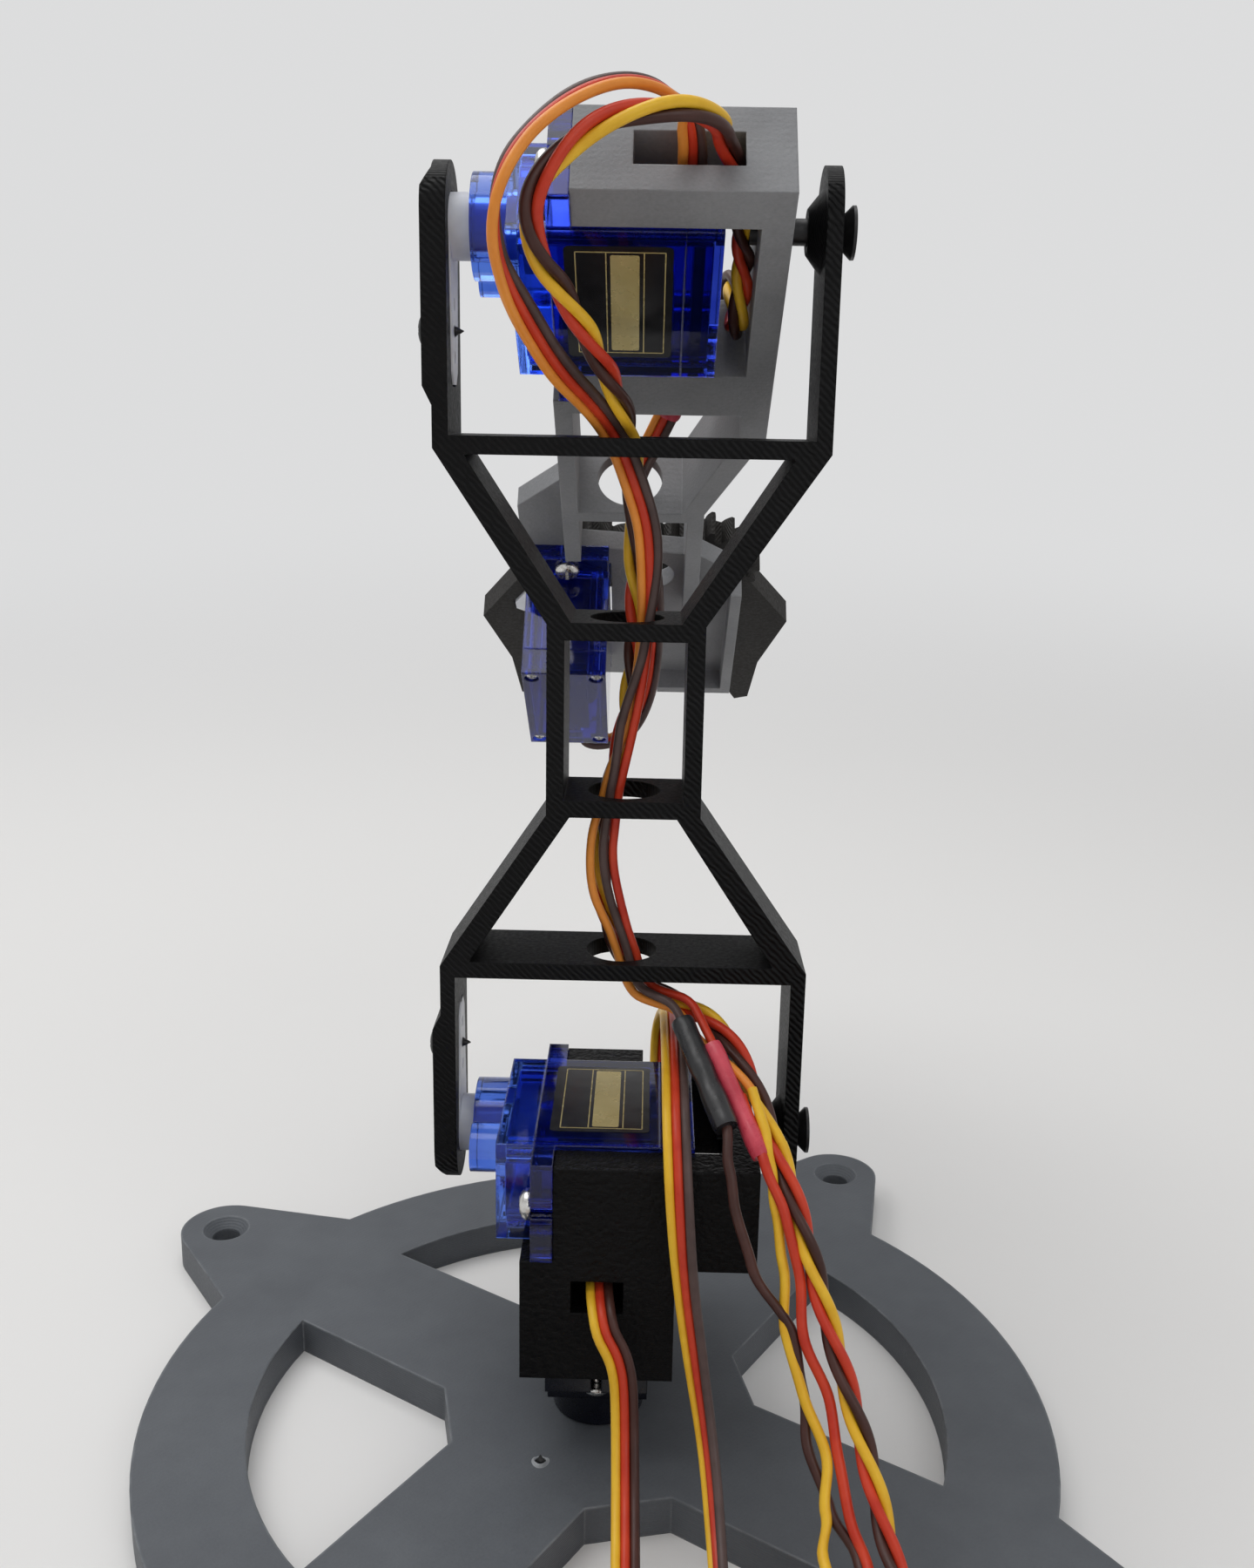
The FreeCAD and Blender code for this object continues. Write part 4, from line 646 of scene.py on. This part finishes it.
def boxMesh(bm, low, high):
    spots = [Vector((x, y, z)) for z in (low[2], high[2]) for x, y in
             ((low[0], low[1]), (high[0], low[1]), (high[0], high[1]), (low[0], high[1]))]
    v = [bm.verts.new(s * mm) for s in spots]
    for ring in ((3, 2, 1, 0), (4, 5, 6, 7), (0, 1, 5, 4), (1, 2, 6, 5), (2, 3, 7, 6), (3, 0, 4, 7)):
        bm.faces.new([v[k] for k in ring])


def meshOf(build):
    bm = bmesh.new()
    build(bm)
    return meshFrom(bm, "built")


def carved(mesh, cutter):
    target = newPiece("target", mesh)
    tool = newPiece("tool", cutter)
    cut = target.modifiers.new("cut", "BOOLEAN")
    cut.object = tool
    cut.operation = "DIFFERENCE"
    cut.solver = "EXACT"
    result = bpy.data.meshes.new_from_object(target.evaluated_get(bpy.context.evaluated_depsgraph_get()))
    for piece in (target, tool):
        bpy.data.objects.remove(piece)
    return result


def plugMesh():
    half, tall = plugs["wide"] / 2, plugs["tall"] / 2

    def shell(bm):
        boxMesh(bm, (0, -half, -tall), (plugs["long"], half, tall))
        bmesh.ops.bevel(bm, geom=bm.edges[:], offset=plugs["bevel"] * mm, segments=2, affect="EDGES",
                        profile=0.5)

    def cuts(bm):
        # pin holes, windows over the crimp tabs and grooves between the ways
        pin, window, groove, above = plugs["pin"], plugs["window"], plugs["groove"], plugs["above"]
        for y in plugs["ways"]:
            boxMesh(bm, (plugs["long"] - pin["deep"], y - pin["half"], -pin["half"]),
                    (plugs["long"] + plugs["past"], y + pin["half"], pin["half"]))
            boxMesh(bm, (window["span"][0], y - window["half"], window["floor"]),
                    (window["span"][1], y + window["half"], above))
        for y in groove["ways"]:
            boxMesh(bm, (groove["from"], y - groove["half"], groove["floor"]),
                    (plugs["long"] - groove["short"], y + groove["half"], above))
    return carved(meshOf(shell), meshOf(cuts))


plugPieces = {}
for name, (x, y, z, turn) in plugs["places"].items():
    piece = newPiece(name + "Plug", plugMesh(), finish["plugBlack"])
    place = Matrix.Translation(Vector((x, y, z)) * mm)
    piece.matrix_world = place @ Matrix.Rotation(math.radians(turn), 4, "Z")
    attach(piece, "base")
    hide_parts("lead_plugs")
    plugPieces[name] = [piece]
print("plugs made:", len(plugPieces))

# tie that holds the coil together
tie = {"turn": 200.0, "wide": 1.2, "thick": 0.45, "radius": 19.4, "height": 1.55, "halfAcross": 2.5,
       "halfTall": 1.0, "square": 4, "points": 28}


def tieMesh():
    middle = Vector((*coilTurns["middle"], 0))
    turn = math.radians(tie["turn"])
    out = Vector((math.cos(turn), math.sin(turn), 0))
    along = Vector((-out.y, out.x, 0))
    bm = bmesh.new()
    rings = []
    count, square = tie["points"], tie["square"]
    for t in turnsOf(count):
        c, s = math.cos(t), math.sin(t)
        reach = (abs(c) ** square + abs(s) ** square) ** (-1 / square)
        ring = []
        for grow, shift in ((0, -1), (0, 1), (1, 1), (1, -1)):
            across = tie["radius"] + (tie["halfAcross"] + grow * tie["thick"]) * c * reach
            rise = tie["height"] + (tie["halfTall"] + grow * tie["thick"]) * s * reach
            spot = middle + out * across + Vector((0, 0, rise)) + along * shift * tie["wide"]
            ring.append(bm.verts.new(spot * mm))
        rings.append(ring)
    for k in range(count):
        first, last = rings[k], rings[(k + 1) % count]
        for j in range(4):
            face = bm.faces.new((first[j], first[(j + 1) % 4], last[(j + 1) % 4], last[j]))
            face.smooth = True
    bmesh.ops.recalc_face_normals(bm, faces=bm.faces)
    return meshFrom(bm, "coilTie")


coilTie = newPiece("coilTie", tieMesh(), finish["plugBlack"])
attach(coilTie, "base")
plugPieces["yawLead"].append(coilTie)

# shrink tube over the splices
sleeves = {
    "blackSleeve": {"from": (9.2, 0.1, 55.8), "to": (14.1, -11.0, 48.0), "radius": 1.45,
                    "finish": "shrinkBlack", "seed": 3, "node": "splice_sleeve_black", "body": "turret",
                    "slot": "wire_black", "lead": "elbowExtension"},
    "redSleeve": {"from": (12.6, -2.6, 54.2), "to": (18.0, -12.4, 45.3), "radius": 1.05,
                  "finish": "shrinkRed", "seed": 5, "node": "splice_sleeve_red", "body": "turret",
                  "slot": "wire_red", "lead": "elbowExtension"},
    "gripperSleeve": {"from": onForearm(4.2, 34.6, 2.3), "to": onForearm(8.4, 26.5, 7.2), "radius": 1.75,
                      "finish": "shrinkRed", "seed": 8, "node": "gripper_splice_sleeve", "body": "forearm",
                      "slot": "wire_red", "lead": "gripperWiresInside"},
}
shrink = {"rings": 40, "sides": 20, "level": (0.3, 0.2, 1.0), "lumps": 5, "lumpAt": (0.1, 0.9),
          "lumpWide": (0.05, 0.12), "lumpSize": (-0.12, 0.1), "lipShare": 0.03, "mouth": 0.94, "lip": 0.06}


def makeSleeve(name):
    look = sleeves[name]
    rng = random.Random(look["seed"])
    start, end = np.array(look["from"]) * mm, np.array(look["to"]) * mm
    share = np.linspace(0, 1, shrink["rings"])
    line = start + (end - start) * share[:, None]
    ahead = unit(np.gradient(line, axis=0))
    side = unit(np.cross(ahead, np.array([shrink["level"]])))
    out = np.cross(side, ahead)
    lumps = [[rng.uniform(*shrink[key]) for key in ("lumpAt", "lumpWide", "lumpSize")]
             for k in range(shrink["lumps"])]
    swell = 1 + sum(size * np.exp(-((share - at) / wide) ** 2) for at, wide, size in lumps)
    lip = np.clip(np.minimum(share, 1 - share) / shrink["lipShare"], 0, 1)
    radius = look["radius"] * mm * swell * (shrink["mouth"] + shrink["lip"] * lip)
    bm = bmesh.new()
    tubeFaces(bm, line, side, out, radius, 0, shrink["sides"])
    piece = newPiece(name, meshFrom(bm, name), finish[look["finish"]])
    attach(piece, look["body"])
    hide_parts(look["node"])
    plugPieces.setdefault(look["lead"], []).append(piece)


for name in sleeves:
    makeSleeve(name)
print("sleeves made:", len(sleeves))

print("cords declared:", len(leadPieces))

# screws: pan heads with a cross recess on threaded shanks, in the frames of the servos
screwKinds = {
    "ear": {"head": 1.8, "tall": 1.4, "shank": 0.75, "pitch": 0.8, "point": 1.4, "finish": "brightSteel"},
    "case": {"head": 0.95, "tall": 0.7, "shank": 0.5, "pitch": 0.5, "point": 0.6, "finish": "brightSteel"},
    "hub": {"head": 2.5, "tall": 1.3, "shank": 0.9, "pitch": 0.5, "point": 0.5, "finish": "blackScrew"},
    "arm": {"head": 1.8, "tall": 1.1, "shank": 0.6, "pitch": 0.6, "point": 1.0, "finish": "blackScrew"},
}
earSpots = (-8.45, 19.35)
caseSpots = [(x, y) for x in (-4.5, 15.4) for y in (-4.6, 4.6)]


def earScrews(who, seat=18.4, length=8.0, turned=False):
    return [("ear", who, 0.0, (x, 0.0, seat), length, turned) for x in earSpots]


def caseScrews(who, seat=0.8, length=20.2):
    return [("case", who, 0.0, (x, y, seat), length, True) for x, y in caseSpots]


def hornScrews(who, hubSeat, armSpot, armSeat, turn, length, hubLength=4.2):
    return [("hub", who, 0.0, (0.0, 0.0, hubSeat), hubLength, False),
            ("arm", who, turn, (armSpot, 0.0, armSeat), length, False)]


# each screw: kind, servo, turn about its shaft, seat of the head, length under it, whether it is turned over
screwSets = {
    "turret_ear_screws": ("turret", "steel_screw", earScrews("yaw") + earScrews("shoulder")),
    "forearm_ear_screws": ("forearm", "steel_screw", earScrews("elbow")
                           + earScrews("gripper", seat=15.9, length=5.4, turned=True)),
    "turret_case_screws": ("turret", "steel_screw", caseScrews("yaw") + caseScrews("shoulder")),
    "forearm_case_screws": ("forearm", "steel_screw", caseScrews("elbow") + caseScrews("gripper")),
    "base_horn_screws": ("base", "steel_screw", hornScrews("yaw", 29.55, 13.6, 29.52, 208.0, 3.5)),
    "arm_horn_screws": ("upper_arm", "black_screw", hornScrews("shoulder", 30.05, 10.8, 31.4, 90.0, 3.9)
                        + hornScrews("elbow", 30.55, 10.8, 31.9, 52.0, 3.9)),
    "finger_horn_screws": ("left_finger", "black_screw",
                           hornScrews("gripper", 29.55, 13.6, 32.3, 215.0, 5.0)),
}


def ringAt(bm, radius, height, sides=24):
    return [bm.verts.new(Vector((radius * math.cos(t), radius * math.sin(t), height)) * mm)
            for t in turnsOf(sides)]


# shapes of heads and threads, as shares of a screw's own radius and height
heads = {"foot": 0.92, "rim": (0.1, 0.3), "flat": 0.12, "steps": 8, "slotLong": 0.62, "slotHalf": 0.13,
         "slotFloor": 0.4, "slotTop": 1.3}
threads = {"rings": 6, "sides": 18, "tip": 0.1, "root": 0.8, "ridge": 0.2}


def headMesh(look):
    head, tall = look["head"], look["tall"]

    def dome(bm):
        low, bend = heads["rim"]
        profile = [(heads["foot"] * head, 0.0), (head, low * tall), (head, bend * tall)]
        for k in range(1, heads["steps"]):
            turn = math.radians(90.0) * k / heads["steps"]
            profile.append((head * (heads["flat"] + (1 - heads["flat"]) * math.cos(turn)),
                            tall * (bend + (1 - bend) * math.sin(turn))))
        profile.append((heads["flat"] * head, tall))
        skin(bm, [ringAt(bm, r, z) for r, z in profile])

    def slotMesh(x, y):
        low, high = heads["slotFloor"] * tall, heads["slotTop"] * tall
        return meshOf(lambda bm: boxMesh(bm, (-x, -y, low), (x, y, high)))

    long, thin = heads["slotLong"] * head, heads["slotHalf"] * head
    return carved(carved(meshOf(dome), slotMesh(long, thin)), slotMesh(thin, long))


def shankMesh(look, length):
    sides = threads["sides"]

    def wind(bm):
        count = int(length / look["pitch"] * threads["rings"])
        rings = []
        for i in range(count + 1):
            z = -length * i / count
            fade = min(1.0, threads["tip"] + (length + z) / look["point"])
            ring = []
            for k, turn in enumerate(turnsOf(sides)):
                ridge = abs((z / look["pitch"] + k / sides) % 1.0 * 2 - 1)
                reach = look["shank"] * fade * (threads["root"] + threads["ridge"] * ridge)
                ring.append(bm.verts.new(Vector((reach * math.cos(turn), reach * math.sin(turn), z)) * mm))
            rings.append(ring)
        skin(bm, rings[::-1])
    return meshOf(wind)


def makeScrews(node):
    body, slot, items = screwSets[node]
    bm = bmesh.new()
    shapes = {}
    for kind, who, turn, seat, length, turned in items:
        look = screwKinds[kind]
        if (kind, length) not in shapes:
            shapes[kind, length] = (headMesh(look), shankMesh(look, length))
        place = servoFrames[who] @ Matrix.Rotation(math.radians(turn), 4, "Z") @ Matrix.Translation(seat)
        if turned:
            place = place @ Matrix.Rotation(math.pi, 4, "X")
        place = Matrix.Scale(mm, 4) @ place @ Matrix.Scale(1 / mm, 4)
        for shape in shapes[kind, length]:
            copy = shape.copy()
            copy.transform(place)
            bm.from_mesh(copy)
            bpy.data.meshes.remove(copy)
    first, *rest = node.split("_")
    name = first + "".join(word.capitalize() for word in rest)
    piece = newPiece(name, meshFrom(bm, node), finish[screwKinds[items[0][0]]["finish"]])
    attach(piece, body)
    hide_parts(node)


for node in screwSets:
    makeScrews(node)
print("screws made:", len(screwSets))

# burr raised on the plate where the base horn's screw comes through
burr = {"place": (-6.39, -12.01, 4.78), "tall": 0.36, "sides": 26, "seed": 4, "mean": 0.55, "lean": 0.45,
        "jitter": 0.12, "lobes": 3, "lobe": 0.05,
        "section": ((0.68, 0.0), (0.72, 0.9), (0.8, 1.0), (0.95, 0.35), (1.15, 0.0))}


def burrMesh():
    rng = random.Random(burr["seed"])
    turns = turnsOf(burr["sides"])
    jitter = burr["jitter"]
    heights = [burr["tall"] * (burr["mean"] - burr["lean"] * math.sin(t) + rng.uniform(-jitter, jitter))
               for t in turns]
    bm = bmesh.new()
    rings = []
    for radius, share in burr["section"]:
        ring = []
        for turn, height in zip(turns, heights):
            reach = radius * (1 + burr["lobe"] * math.sin(burr["lobes"] * turn))
            spot = Vector((reach * math.cos(turn), reach * math.sin(turn), height * share))
            ring.append(bm.verts.new((spot + Vector(burr["place"])) * mm))
        rings.append(ring)
    for first, last in zip(rings, rings[1:]):
        for k in range(burr["sides"]):
            j = (k + 1) % burr["sides"]
            bm.faces.new((first[k], last[k], last[j], first[j])).smooth = True
    return meshFrom(bm, "tipBurr")


tipBurr = newPiece("tipBurr", burrMesh(), finish["burrPale"])
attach(tipBurr, "base")
print("burr made")

# plain stickers on the two servos that show their sides, in the servo's x and z
sticker = {"face": 6.0, "thick": 0.07, "low": (-3.8, 5.2), "high": (13.4, 16.8), "corner": 0.6, "steps": 4,
           "frameLow": (-3.0, 6.05), "frameHigh": (12.6, 15.6), "line": 0.13, "panelLow": (-2.6, 8.8),
           "panelHigh": (12.2, 11.9), "panelCorner": 0.25, "lineCorner": 0.05, "sunk": 0.01, "raised": 0.02,
           "bars": (8.3, 12.35), "owners": {"shoulder": "turret", "elbow": "forearm"}}


def plate(bm, low, high, corner, base, top, slot):
    # flat plate with round corners lying on the servo's side
    outline = []
    corners = ((high[0], high[1], 0), (low[0], high[1], 90), (low[0], low[1], 180), (high[0], low[1], 270))
    for x, z, first in corners:
        for k in range(sticker["steps"] + 1):
            turn = math.radians(first + 90 * k / sticker["steps"])
            midX = x - corner if x == high[0] else x + corner
            midZ = z - corner if z == high[1] else z + corner
            outline.append((midX + corner * math.cos(turn), midZ + corner * math.sin(turn)))
    rings = [[bm.verts.new(Vector((x, y, z)) * mm) for x, z in outline] for y in (top, base)]
    start = len(bm.faces)
    skin(bm, rings, slot)
    bm.faces.ensure_lookup_table()
    for face in bm.faces[start:]:
        face.smooth = False


def makeSticker(who):
    face, top = sticker["face"], sticker["face"] + sticker["thick"]
    low, high, line = sticker["frameLow"], sticker["frameHigh"], sticker["line"]
    bm = bmesh.new()
    plate(bm, sticker["low"], sticker["high"], sticker["corner"], face, top, 0)
    base, gilt = top - sticker["sunk"], top + sticker["raised"]
    plate(bm, sticker["panelLow"], sticker["panelHigh"], sticker["panelCorner"], base, gilt, 1)
    strips = [((low[0], z - line / 2), (high[0], z + line / 2)) for z in (low[1], *sticker["bars"], high[1])]
    strips += [((x - line / 2, low[1]), (x + line / 2, high[1])) for x in (low[0], high[0])]
    for first, last in strips:
        plate(bm, first, last, sticker["lineCorner"], base, gilt, 1)
    mesh = meshFrom(bm, who + "Sticker")
    mesh.transform(Matrix.Scale(mm, 4) @ servoFrames[who] @ Matrix.Scale(1 / mm, 4))
    piece = newPiece(who + "Sticker", mesh, finish["labelBlack"], finish["labelGold"])
    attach(piece, sticker["owners"][who])


for who in sticker["owners"]:
    makeSticker(who)
print("stickers made:", len(sticker["owners"]))

# floor that curves up behind, light and sky
stage = {"floor": (0.80, 0.79, 0.775), "wall": (0.72, 0.722, 0.726), "fade": (0.22, 0.85),
         "sky": (0.82, 0.83, 0.85), "air": 0.5, "half": 3.0, "near": -3.0, "far": 0.4, "bend": 1.7,
         "steps": 24, "top": 3.4, "aim": (0.0, 0.0, 0.08), "patchMm": 400.0, "patchShade": 0.985,
         "rough": 0.9,
         "lamps": [("overhead", (-0.25, 0.12, 0.8), 0.8, 4.6), ("front", (0.4, -0.6, 0.55), 0.6, 1.2)]}


def sweep():
    # flat floor, a quarter round and a wall
    far, bend = stage["far"], stage["bend"]
    profile = [(stage["near"], 0.0)]
    for k in range(stage["steps"] + 1):
        turn = math.radians(90.0) * k / stage["steps"]
        profile.append((far + bend * math.sin(turn), bend - bend * math.cos(turn)))
    profile.append((far + bend, stage["top"]))
    bm = bmesh.new()
    rows = [[bm.verts.new((x, y, z)) for y, z in profile] for x in (-stage["half"], stage["half"])]
    for k in range(len(profile) - 1):
        face = bm.faces.new((rows[0][k], rows[1][k], rows[1][k + 1], rows[0][k + 1]))
        face.smooth = True
    return meshFrom(bm, "floor")


def showPale(tree, kind, lit, output, share):
    # plain pale tone where the background is looked at, through glass and in gloss too
    rays = put(tree, "ShaderNodeLightPath").outputs
    seen = sums(tree, "MAXIMUM", rays["Is Camera Ray"],
                sums(tree, "MAXIMUM", rays["Is Glossy Ray"], rays["Is Transmission Ray"]))
    pale = put(tree, kind, {"Color": (*stage["wall"], 1), "Strength": 1.0})
    amount = sums(tree, "MULTIPLY", seen, share)
    both = put(tree, "ShaderNodeMixShader", {0: amount, 1: lit, 2: pale.outputs[0]})
    tree.links.new(both.outputs["Shader"], tree.nodes[output].inputs["Surface"])


def setStage():
    scene = bpy.context.scene
    mat, tree, shader, spot = startMaterial("floorPaper")
    shade = tuple(stage["patchShade"] * c for c in stage["floor"])
    patches = speckle(tree, spot, stage["patchMm"])
    join(tree, tones(tree, patches, shade, stage["floor"]), shader, "Base Color")
    shader.inputs["Roughness"].default_value = stage["rough"]
    reach = put(tree, "ShaderNodeVectorMath", {0: spot}, operation="LENGTH").outputs["Value"]
    near, far = stage["fade"]
    fade = put(tree, "ShaderNodeMapRange", {"Value": reach, "From Min": near, "From Max": far},
               interpolation_type="SMOOTHSTEP").outputs["Result"]
    showPale(tree, "ShaderNodeEmission", shader.outputs["BSDF"], "Material Output", fade)
    newPiece("floor", sweep(), mat)
    world = bpy.data.worlds.new("sky")
    world.use_nodes = True
    scene.world = world
    sky = world.node_tree.nodes["Background"]
    sky.inputs["Color"].default_value = (*stage["sky"], 1)
    sky.inputs["Strength"].default_value = stage["air"]
    showPale(world.node_tree, "ShaderNodeBackground", sky.outputs["Background"], "World Output", 1.0)
    for name, place, size, power in stage["lamps"]:
        data = bpy.data.lights.new(name, "AREA")
        data.size = size
        data.energy = power
        lamp = bpy.data.objects.new(name, data)
        scene.collection.objects.link(lamp)
        lamp.location = place
        lamp.rotation_euler = (Vector(stage["aim"]) - Vector(place)).to_track_quat("-Z", "Y").to_euler()
    scene.view_settings.view_transform = "Standard"


setStage()
print("stage set")
